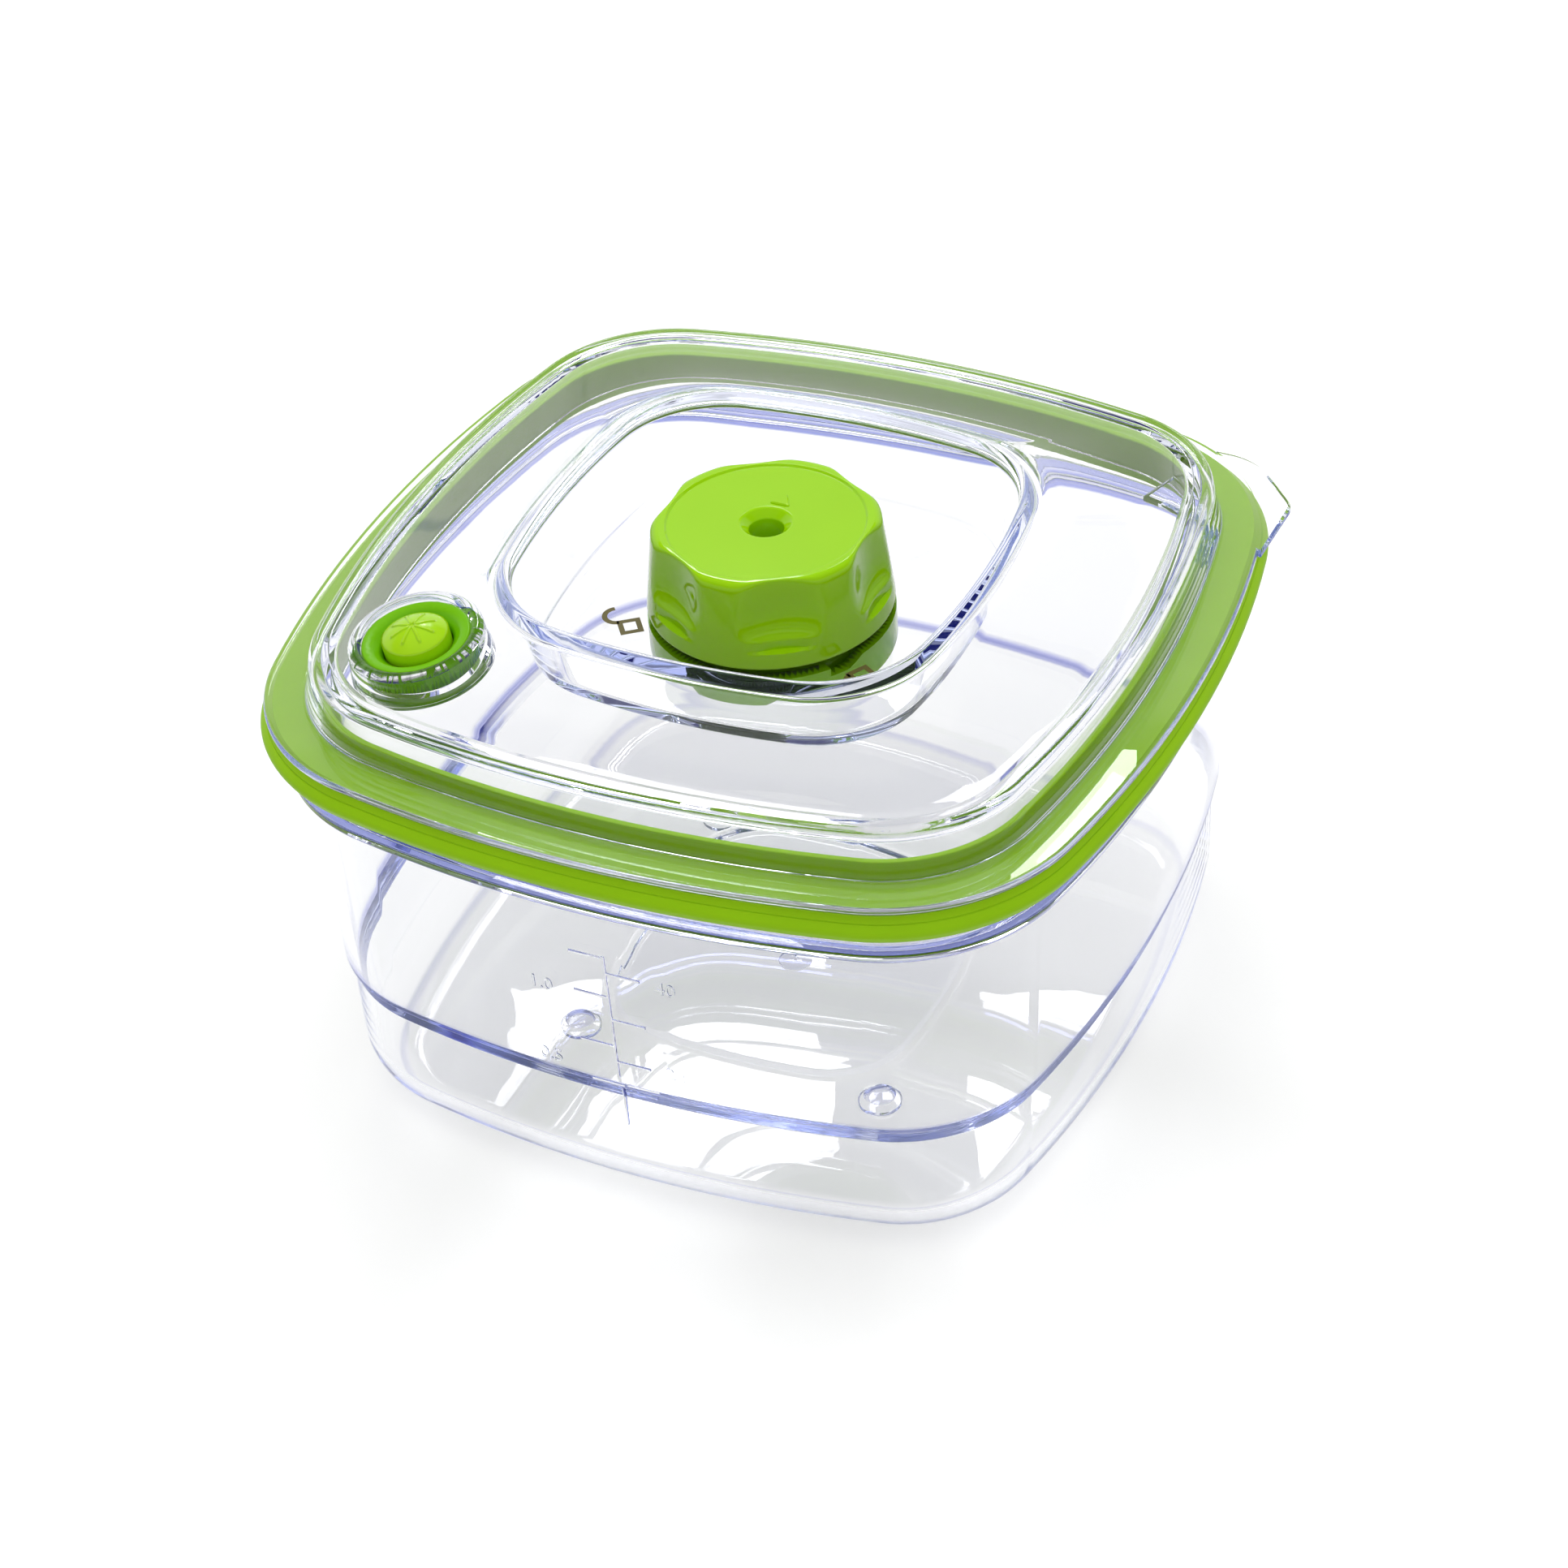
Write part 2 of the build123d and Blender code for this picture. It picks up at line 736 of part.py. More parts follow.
def make_valve_stem():
    """Hollow stem: threaded head, keyed collar, shank and grooved foot."""
    foot_z = disc_top_z - stem_foot_length
    groove_z = collar_top_z - stem_collar_height / 2
    groove_half = o_ring_section
    groove_root = neck_bore_radius - o_ring_gap - 2 * o_ring_section
    pocket_z = stem_rest_top_z - stem_pocket_depth
    head_radius = sleeve_bore_radius - thread_clearance
    points = [
        (stem_bore_radius, foot_z),
        (stem_foot_radius, foot_z),
        (stem_foot_radius, disc_top_z),
        (stem_radius, disc_top_z),
        (stem_radius, collar_bottom_z),
        (stem_collar_radius, collar_bottom_z),
        (stem_collar_radius, groove_z - groove_half),
        (groove_root, groove_z - groove_half),
        (groove_root, groove_z + groove_half),
        (stem_collar_radius, groove_z + groove_half),
        (stem_collar_radius, collar_top_z),
        (head_radius, collar_top_z),
        (head_radius, stem_rest_top_z),
        (stem_pocket_radius, stem_rest_top_z),
        (stem_pocket_radius, pocket_z),
        (stem_bore_radius, pocket_z),
    ]
    stem = turned(points)
    reach = neck_bore_radius + key_depth
    height = groove_z - groove_half - collar_bottom_z
    for index in range(key_count):
        key = Pos(reach / 2, 0, collar_bottom_z + height / 2) * Box(reach, key_width, height)
        key -= disc(groove_root, collar_bottom_z - overrun, collar_top_z)
        stem += Rot(0, 0, 360 / key_count * index) * key
    port = Rot(0, 90, 0) * Cylinder(stem_port_radius, 4 * stem_radius)
    clip_z = disc_top_z - valve_disc_thickness - clip_thickness
    groove_floor = stem_foot_radius - clip_groove_depth()
    groove = tube(stem_foot_radius + overrun, groove_floor, clip_z, clip_z + clip_thickness)
    return stem - Pos(0, 0, collar_bottom_z - stem_radius) * port - groove


def clip_groove_depth():
    """Depth of the foot's groove for the clip: half of the foot's wall."""
    return (stem_foot_radius - stem_bore_radius) / 2


def make_stem_o_ring():
    """Rubber ring in the stem's collar, against the neck's bore."""
    groove_z = collar_top_z - stem_collar_height / 2
    middle = neck_bore_radius - o_ring_gap - o_ring_section
    return Pos(0, 0, groove_z) * Torus(middle, o_ring_section)


def make_stem_spring():
    """Spring between the housing's plate and the stem's collar."""
    return coil(spring_radius, spring_wire_radius, spring_turns, spring_seat_z, collar_bottom_z)


def make_valve_disc():
    """Silicone disc on the stem's foot, which closes the port from below."""
    bottom = disc_top_z - valve_disc_thickness
    points = [
        (stem_foot_radius, bottom),
        (valve_disc_radius - valve_disc_lip, bottom),
        (valve_disc_radius, disc_top_z - valve_disc_lip),
        (valve_disc_radius, disc_top_z),
        (stem_foot_radius, disc_top_z),
    ]
    return turned(points)


def make_retaining_clip():
    """Open spring clip in the foot's groove, under the valve disc."""
    top = disc_top_z - valve_disc_thickness
    clip = tube(clip_radius, stem_foot_radius - clip_groove_depth(), top - clip_thickness, top)
    gap = Box(clip_radius + overrun, clip_gap_width, 2 * clip_thickness + overrun)
    return clip - Pos(clip_radius / 2, 0, top) * gap


def make_check_valve():
    """Duckbill check valve in the stem's head: a flange and a slit bill."""
    floor_z = stem_rest_top_z - stem_pocket_depth
    flange_top = floor_z + check_valve_thickness
    bill_top = floor_z + check_valve_length
    flange = disc(check_valve_radius, floor_z, flange_top)
    foot = Pos(0, 0, flange_top) * Rectangle(2 * stem_bore_radius, 2 * stem_bore_radius)
    tip = Pos(0, 0, bill_top) * Rectangle(2 * stem_bore_radius, check_valve_slit * 2)
    bill = loft([foot, tip], ruled=True)
    slit = Pos(0, 0, bill_top) * Box(stem_bore_radius, check_valve_slit / 2, check_valve_length)
    return flange + bill - slit


def plug_floor():
    """Height of the closed end inside the indicator's plug, below the boss's top."""
    return plug_web - boss_length


def make_indicator_seal():
    """Green silicone plug: a flange under the boss's lip, a dish and a closed cup."""
    flange_radius = boss_bore_radius - plug_clearance
    collar_radius = boss_lip_radius - plug_collar_clearance
    bore = button_radius + button_clearance
    flange_top = -boss_lip_thickness
    flange_bottom = flange_top - plug_height
    collar_top = flange_top + plug_collar_rise
    points = [
        (0, -boss_length),
        (plug_cup_radius, -boss_length),
        (plug_cup_radius, flange_bottom),
        (flange_radius, flange_bottom),
        (flange_radius, flange_top),
        (collar_radius, flange_top),
        (collar_radius, collar_top),
        (dish_radius, collar_top),
        (bore, collar_top - dish_depth),
        (bore, plug_floor()),
        (0, plug_floor()),
    ]
    return indicator_frame() * turned(points, {6: gasket_round})


def make_indicator_button():
    """Domed green button with radial ribs, free to sink into its plug."""
    crown_z = button_crown - button_crown_drop
    sphere_radius = (button_radius ** 2 + button_crown ** 2) / (2 * button_crown)
    body = disc(button_radius, -button_depth, crown_z)
    body &= Pos(0, 0, crown_z - sphere_radius) * Sphere(sphere_radius)
    rib_length = button_radius * button_rib_share
    proud = Pos(0, 0, crown_z - sphere_radius) * Sphere(sphere_radius + button_rib_rise)
    for index in range(button_rib_count):
        rib = Box(rib_length, button_rib_width, 2 * button_crown)
        rib = Pos(rib_length / 2 + button_rib_width, 0, crown_z) * rib
        body += Rot(0, 0, 360 / button_rib_count * index) * (rib & proud)
    body -= disc(button_radius - button_wall, -button_depth - overrun, -button_wall)
    return indicator_frame() * body


def make_indicator_spring():
    """Light spring under the button."""
    body = coil(button_spring_radius, spring_wire_radius, button_spring_turns, plug_floor(), -button_wall)
    return indicator_frame() * body


def make_indicator_retainer():
    """Ring pressed into the boss from below, which holds the plug's flange up."""
    outer = boss_bore_radius - plug_clearance
    inner = plug_cup_radius + plug_clearance
    return indicator_frame() * tube(outer, inner, -boss_length, -boss_lip_thickness - plug_height)


def make_spring_washer():
    """Thin washer that the stem's spring stands on."""
    bore = stem_radius + key_clearance
    return tube(spring_washer_radius, bore, plate_top_z, spring_seat_z)


def make_filter_cap():
    """Slotted cap that keeps food away from the valve disc."""
    bottom = housing_bottom_z - cap_depth
    points = [
        (0, bottom),
        (cap_radius, bottom),
        (cap_radius, housing_bottom_z + cap_groove_depth),
        (cap_radius - cap_wall, housing_bottom_z + cap_groove_depth),
        (cap_radius - cap_wall, bottom + cap_floor),
        (0, bottom + cap_floor),
    ]
    cap = turned(points, {1: housing_round})
    length = cap_slot_outer - cap_slot_inner
    slot = Pos(cap_slot_inner + length / 2, 0, bottom) * Box(length, cap_slot_width, 4 * cap_floor)
    for index in range(cap_slot_count):
        cap -= Rot(0, 0, 360 / cap_slot_count * index) * slot
    return cap


PARTS = {
    "container": make_container,
    "lid_shell": make_lid,
    "lid_gasket": make_lid_gasket,
    "knob": make_knob,
    "nozzle_seal": make_nozzle_seal,
    "valve_housing": make_valve_housing,
    "housing_gasket": make_housing_gasket,
    "clamp_nut": make_clamp_nut,
    "valve_stem": make_valve_stem,
    "stem_o_ring": make_stem_o_ring,
    "stem_spring": make_stem_spring,
    "spring_washer": make_spring_washer,
    "valve_disc": make_valve_disc,
    "retaining_clip": make_retaining_clip,
    "check_valve": make_check_valve,
    "filter_cap": make_filter_cap,
    "indicator_seal": make_indicator_seal,
    "indicator_button": make_indicator_button,
    "indicator_spring": make_indicator_spring,
    "indicator_retainer": make_indicator_retainer,
}

os.makedirs("parts", exist_ok=True)
for name, make in PARTS.items():
    solid = make()
    print(name, "volume", round(solid.volume, 1), "solids", len(solid.solids()))
    export_step(solid, f"parts/{name}.step")
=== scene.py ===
"""Looks of the square vacuum canister: clear tub and lid, green gasket, knob and indicator.

Sizes are in millimetres unless a text says otherwise, and meshes are made in metres. A corner is a
half width or a radius, a height and, where it has one, the radius of its round.
"""
import json
import logging
import math
from dataclasses import dataclass
from enum import Enum
from functools import cache
from typing import Iterable, Sequence

import bmesh
import bpy
from mathutils import Matrix, Vector


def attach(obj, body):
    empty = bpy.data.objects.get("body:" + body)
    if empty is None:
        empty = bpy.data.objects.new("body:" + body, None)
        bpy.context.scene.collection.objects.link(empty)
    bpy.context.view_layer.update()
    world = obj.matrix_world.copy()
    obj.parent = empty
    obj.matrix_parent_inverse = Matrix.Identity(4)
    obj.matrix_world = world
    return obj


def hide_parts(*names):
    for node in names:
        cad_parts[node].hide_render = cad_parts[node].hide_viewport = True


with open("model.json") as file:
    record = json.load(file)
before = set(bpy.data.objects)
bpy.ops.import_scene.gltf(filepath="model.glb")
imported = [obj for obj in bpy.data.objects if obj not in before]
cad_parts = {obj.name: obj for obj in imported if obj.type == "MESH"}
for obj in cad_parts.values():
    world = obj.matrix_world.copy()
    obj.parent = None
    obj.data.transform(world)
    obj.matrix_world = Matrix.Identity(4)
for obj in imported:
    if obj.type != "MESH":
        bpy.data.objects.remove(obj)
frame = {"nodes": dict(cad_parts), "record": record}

LOG = logging.getLogger("canister")
MM = 0.001
MERGE = 1e-6  # metres
BUMP_DISTANCE = 0.0005  # metres
INNER_EDGE = 0.01  # radius at which solid turned pieces end, beside their axis
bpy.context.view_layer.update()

Point = tuple[float, float]
Corner = tuple[float, ...]
Loop = list[Vector]


class Body(Enum):
    """Moving bodies of the canister, by the names that the frame gives them."""

    CONTAINER = "container"
    LID = "lid"
    KNOB = "knob"
    STEM = "valve_stem"
    BUTTON = "indicator_button"


# Meshes


def linked(name: str, data: bpy.types.ID) -> bpy.types.Object:
    """A new object in the scene that holds this mesh, curve, light or camera."""
    thing = bpy.data.objects.new(name, data)
    bpy.context.scene.collection.objects.link(thing)
    return thing


@dataclass(frozen=True)
class Outline:
    """Square with bowed sides and tangent round corners, seen from above."""

    half: float
    corner_radius: float
    side_radius: float

    SIDE_STEPS = 18
    CORNER_STEPS = 22
    CIRCLE_TURN = math.radians(10)

    def corner_centre(self) -> float:
        """Distance of a corner arc's centre from both middle planes."""
        reach = self.side_radius - self.half
        span = self.side_radius - self.corner_radius
        return (math.sqrt(max(2 * span**2 - reach**2, 0)) - reach) / 2

    def side_turn(self) -> float:
        """Half the angle of a side arc, in radians."""
        centre = self.corner_centre()
        if centre < MM:
            return self.CIRCLE_TURN
        return math.atan2(centre, centre + self.side_radius - self.half)

    def inset(self, distance: float) -> "Outline":
        """The parallel outline a distance inside this one."""
        return Outline(self.half - distance, self.corner_radius - distance, self.side_radius - distance)

    def mixed(self, other: "Outline", share: float) -> "Outline":
        """The outline a share of the way from this one to another."""
        return Outline(
            self.half + share * (other.half - self.half),
            self.corner_radius + share * (other.corner_radius - self.corner_radius),
            self.side_radius + share * (other.side_radius - self.side_radius),
        )

    def loop(self, z: float) -> Loop:
        """Points round the outline at height z, in metres, always as many.

        Args:
            z: height in millimetres.

        Returns:
            The points, from the middle of no particular side, turning left.
        """
        centre, turn = self.corner_centre(), self.side_turn()
        points: Loop = []
        for quarter in range(4):
            spin = Matrix.Rotation(math.radians(90 * quarter), 3, "Z")
            for step in range(self.SIDE_STEPS):
                angle = turn * (2 * step / self.SIDE_STEPS - 1)
                x = self.half - self.side_radius + self.side_radius * math.cos(angle)
                y = self.side_radius * math.sin(angle)
                points.append(spin @ Vector((x, y, z)) * MM)
            for step in range(self.CORNER_STEPS):
                angle = turn + (math.pi / 2 - 2 * turn) * step / self.CORNER_STEPS
                x = centre + self.corner_radius * math.cos(angle)
                y = centre + self.corner_radius * math.sin(angle)
                points.append(spin @ Vector((x, y, z)) * MM)
        return points


def circle(radius: float) -> Outline:
    """A round outline, with its points spread like the bowed squares'."""
    return Outline(radius, radius, radius)


@dataclass(frozen=True)
class Family:
    """Outlines of one moulding, each named by its half width, from small to large."""

    members: tuple[Outline, ...]

    def at(self, half: float) -> Outline:
        """The outline with this half width, mixed from its neighbours or parallel to the last."""
        last = self.members[-1]
        if half >= last.half:
            return last.inset(last.half - half)
        for low, high in zip(self.members, self.members[1:]):
            if half <= high.half:
                share = (half - low.half) / (high.half - low.half)
                return low.mixed(high, max(share, 0))
        return last


def rounded(corners: Sequence[Corner], steps: int = 6) -> list[Point]:
    """A closed profile whose corners are rounded.

    Args:
        corners: the profile's corners.
        steps: pieces that each round is divided into.

    Returns:
        The profile's points in the same order.
    """
    places = [Vector(corner[:2]) for corner in corners]
    result: list[Point] = []
    for index, (corner, here) in enumerate(zip(corners, places)):
        radius = corner[2] if len(corner) > 2 else 0
        if radius == 0:
            result.append(corner[:2])
            continue
        before = (places[index - 1] - here).normalized()
        after = (places[(index + 1) % len(places)] - here).normalized()
        half_angle = before.angle(after) / 2
        middle = (before + after).normalized()
        centre = here + middle * (radius / math.sin(half_angle))
        start = here + before * (radius / math.tan(half_angle)) - centre
        end = here + after * (radius / math.tan(half_angle)) - centre
        sweep = start.angle(end)
        for step in range(steps + 1):
            share = step / steps
            mix = math.sin((1 - share) * sweep) * start + math.sin(share * sweep) * end
            result.append(tuple(centre + mix / math.sin(sweep)))
    return result


def new_piece(name: str, loops: Sequence[Loop], closed: bool = True) -> bpy.types.Object:
    """A mesh through a row of loops that all have as many points.

    Args:
        name: the piece's name.
        loops: rings of points, in metres.
        closed: whether the last loop joins the first, or else both ends are filled.

    Returns:
        The piece, linked to the scene.
    """
    count = len(loops[0])
    vertices = [point for loop in loops for point in loop]
    faces = []
    rows = len(loops) if closed else len(loops) - 1
    for row in range(rows):
        low, high = row * count, (row + 1) % len(loops) * count
        for column in range(count):
            following = (column + 1) % count
            faces.append((low + column, low + following, high + following, high + column))
    if not closed:
        faces.append(tuple(range(count)))
        faces.append(tuple(range((len(loops) - 1) * count, len(loops) * count)))
    mesh = bpy.data.meshes.new(name)
    mesh.from_pydata(vertices, [], faces)
    piece = linked(name, mesh)
    finish_mesh(piece)
    return piece


def finish_mesh(piece: bpy.types.Object, sharp_degrees: float = 35) -> None:
    """Closes seams, points faces outwards and shades smooth, but for crisp edges.

    Args:
        piece: the mesh object to finish.
        sharp_degrees: edges that turn by more than this stay crisp.
    """
    tool = bmesh.new()
    tool.from_mesh(piece.data)
    bmesh.ops.remove_doubles(tool, verts=tool.verts, dist=MERGE)
    bmesh.ops.dissolve_degenerate(tool, dist=MERGE, edges=tool.edges)
    bmesh.ops.recalc_face_normals(tool, faces=tool.faces)
    tool.to_mesh(piece.data)
    tool.free()
    piece.data.shade_smooth()
    piece.data.set_sharp_from_angle(angle=math.radians(sharp_degrees))


def family_piece(name: str, family: Family, profile: Iterable[Point]) -> bpy.types.Object:
    """A closed moulding whose section follows a family of outlines."""
    return new_piece(name, [family.at(half).loop(z) for half, z in profile])


def turned(
    name: str, profile: Iterable[Point], steps: int = 128, place: Matrix | None = None,
) -> bpy.types.Object:
    """A closed piece of revolution about an upright axis.

    Args:
        name: the piece's name.
        profile: points of radius and height.
        steps: points round each circle.
        place: where the axis stands, in metres, or None for the middle.

    Returns:
        The piece, with its place in its mesh.
    """
    loops = []
    for radius, z in profile:
        angles = [math.tau * step / steps for step in range(steps)]
        loops.append([Vector((radius * math.cos(a), radius * math.sin(a), z)) * MM for a in angles])
    piece = new_piece(name, loops)
    if place is not None:
        piece.data.transform(place)
    return piece


def plug(
    name: str, low: Corner, high: Corner, round_steps: int, steps: int, place: Matrix | None = None,
) -> bpy.types.Object:
    """A round solid between two heights, about an upright axis.

    Args:
        name: the piece's name.
        low: corner at its lower edge.
        high: corner at its upper edge.
        round_steps: pieces that the round is divided into.
        steps: points round each circle.
        place: where the axis stands, in metres, or None for the middle.

    Returns:
        The solid.
    """
    corners = [(INNER_EDGE, low[1]), low, high, (INNER_EDGE, high[1])]
    return turned(name, rounded(corners, round_steps), steps, place)


def layered(
    name: str, outline: Sequence[Point], middle: Point, z: float, layers: Iterable[Point],
) -> bpy.types.Object:
    """A plate through copies of an outline, one above the other.

    Args:
        name: the piece's name.
        outline: the outline's points.
        middle: the point that insets move them towards.
        z: height that the layers count from.
        layers: inset and height of each copy.

    Returns:
        The plate.
    """
    centre = Vector(middle)
    loops = []
    for inset, rise in layers:
        flats = [Vector(point) - (Vector(point) - centre).normalized() * inset for point in outline]
        loops.append([Vector((flat.x, flat.y, z + rise)) * MM for flat in flats])
    return new_piece(name, loops, closed=False)


def ring_of_points(name: str, points: Sequence[Vector]) -> bpy.types.Object:
    """A closed line through points, as a mesh of edges."""
    mesh = bpy.data.meshes.new(name)
    count = len(points)
    mesh.from_pydata(points, [(index, (index + 1) % count) for index in range(count)], [])
    return linked(name, mesh)


def bake(piece: bpy.types.Object) -> None:
    """Replaces the piece's mesh with what its modifiers make, and removes them."""
    graph = bpy.context.evaluated_depsgraph_get()
    mesh = bpy.data.meshes.new_from_object(piece.evaluated_get(graph))
    piece.modifiers.clear()
    piece.data = mesh


def combine(
    piece: bpy.types.Object, joins: Sequence[bpy.types.Object], cuts: Sequence[bpy.types.Object],
) -> None:
    """Joins solids to a piece and cuts others out of it, and removes them all.

    Args:
        piece: the mesh object that is changed.
        joins: solids that become part of it.
        cuts: solids whose space is taken out of it, after the joins.
    """
    for other, operation in [(solid, "UNION") for solid in joins] + [(solid, "DIFFERENCE") for solid in cuts]:
        modifier = piece.modifiers.new("combine", "BOOLEAN")
        modifier.operation, modifier.solver, modifier.object = operation, "EXACT", other
        bake(piece)
        bpy.data.objects.remove(other)
    finish_mesh(piece)


def smooth_copy(node: str, sharp_degrees: float = 30) -> bpy.types.Object:
    """A merged, smoothly shaded copy of a part of the frame, which it stands for."""
    source = frame["nodes"][node]
    copy = linked(f"{node}_piece", source.data.copy())
    copy.data.materials.clear()
    finish_mesh(copy, sharp_degrees)
    return copy


def even_normals(piece: bpy.types.Object) -> None:
    """Lets large faces rule the shading, so that flats beside rounds mirror as flats."""
    modifier = piece.modifiers.new("normals", "WEIGHTED_NORMAL")
    modifier.keep_sharp = True
    modifier.weight = 60
    bake(piece)


def settle(piece: bpy.types.Object, body: Body, material: bpy.types.Material, *nodes: str) -> None:
    """Dresses a piece, sets it on its body and lets it stand for parts of the frame."""
    even_normals(piece)
    piece.data.materials.clear()
    piece.data.materials.append(material)
    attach(piece, body.value)
    if nodes:
        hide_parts(*nodes)
        slot_of(nodes[0])
    LOG.info("%s: %d faces on %s", piece.name, len(piece.data.polygons), body.value)


def slot_of(node: str) -> str:
    """The record's material slot of a part of the frame."""
    for part in frame["record"]["subparts"]:
        if part["node"] == node:
            return part["material_slot"]
    raise ValueError(f"no slot for {node}")


# Node trees


class Graph:
    """A node tree under construction, with short ways to add and join its nodes."""

    def __init__(self, tree: bpy.types.NodeTree) -> None:
        """Takes the tree that nodes are added to."""
        self.tree = tree

    @classmethod
    def group(
        cls, name: str, kind: str, inputs: dict[str, tuple], outputs: Sequence[tuple[str, str]],
    ) -> "Graph":
        """A new node group with named sockets.

        Args:
            name: the group's name.
            kind: the tree's type.
            inputs: each input's socket type and its default, or None.
            outputs: each output's name and socket type.

        Returns:
            The graph, with its inlet's sockets to read and its outlet's to feed.
        """
        graph = cls(bpy.data.node_groups.new(name, kind))
        for label, (socket_kind, value) in inputs.items():
            socket = graph.tree.interface.new_socket(label, in_out="INPUT", socket_type=socket_kind)
            if value is not None:
                socket.default_value = value
        for label, socket_kind in outputs:
            graph.tree.interface.new_socket(label, in_out="OUTPUT", socket_type=socket_kind)
        graph.given = graph.add("NodeGroupInput").outputs
        graph.result = graph.add("NodeGroupOutput").inputs
        return graph

    def add(self, kind: str, values: dict | None = None, **settings: object) -> bpy.types.Node:
        """A new node, whose settings are set before values feed its sockets, by name or number."""
        node = self.tree.nodes.new(kind)
        for name, value in settings.items():
            setattr(node, name, value)
        for key, value in (values or {}).items():
            self.feed(node.inputs[key], value)
        return node

    def feed(self, socket: bpy.types.NodeSocket, value: object) -> None:
        """Links a socket to another one, or sets it to a plain value."""
        if isinstance(value, bpy.types.NodeSocket):
            self.tree.links.new(value, socket)
        else:
            socket.default_value = value

    def maths(self, operation: str, *values: object) -> bpy.types.NodeSocket:
        """The result of a maths node on sockets or numbers."""
        return self.add("ShaderNodeMath", dict(enumerate(values)), operation=operation).outputs[0]

    def finish(self, geometry: bpy.types.NodeSocket) -> bpy.types.NodeTree:
        """Ends a geometry tree by realizing its instances and setting its material."""
        real = self.add("GeometryNodeRealizeInstances", {"Geometry": geometry})
        values = {"Geometry": real.outputs[0], "Material": self.given["Material"]}
        self.feed(self.result["Geometry"], self.add("GeometryNodeSetMaterial", values).outputs[0])
        return self.tree


def grow(piece: bpy.types.Object, tree: bpy.types.NodeTree, **values: object) -> None:
    """Runs a geometry tree on a piece, with its named inputs set first, and keeps the result.

    Args:
        piece: the mesh object that is changed.
        tree: the geometry node group.
        values: inputs by their names, with an underscore for each space.
    """
    modifier = piece.modifiers.new(tree.name, "NODES")
    modifier.node_group = tree
    for name, value in values.items():
        socket = tree.interface.items_tree[name.replace("_", " ")]
        modifier[socket.identifier] = value
    bake(piece)


def geometry_graph(name: str, inputs: dict[str, tuple]) -> Graph:
    """A geometry node group that takes geometry, a material and further inputs."""
    basic = {"Geometry": ("NodeSocketGeometry", None), "Material": ("NodeSocketMaterial", None)}
    return Graph.group(name, "GeometryNodeTree", basic | inputs, [("Geometry", "NodeSocketGeometry")])


def sweep_tree() -> bpy.types.NodeTree:
    """Geometry nodes that sweep a section along a level closed path, with its Y pointing down."""
    graph = geometry_graph("sweep", {"Section": ("NodeSocketObject", None)})
    path = graph.add("GeometryNodeMeshToCurve", {"Mesh": graph.given["Geometry"]})
    level = graph.add("GeometryNodeSetCurveNormal", {"Curve": path.outputs[0]}, mode="Z_UP")
    section = graph.add("GeometryNodeObjectInfo", {"Object": graph.given["Section"]})
    outline = graph.add("GeometryNodeMeshToCurve", {"Mesh": section.outputs["Geometry"]})
    swept = {"Curve": level.outputs[0], "Profile Curve": outline.outputs[0]}
    return graph.finish(graph.add("GeometryNodeCurveToMesh", swept).outputs[0])


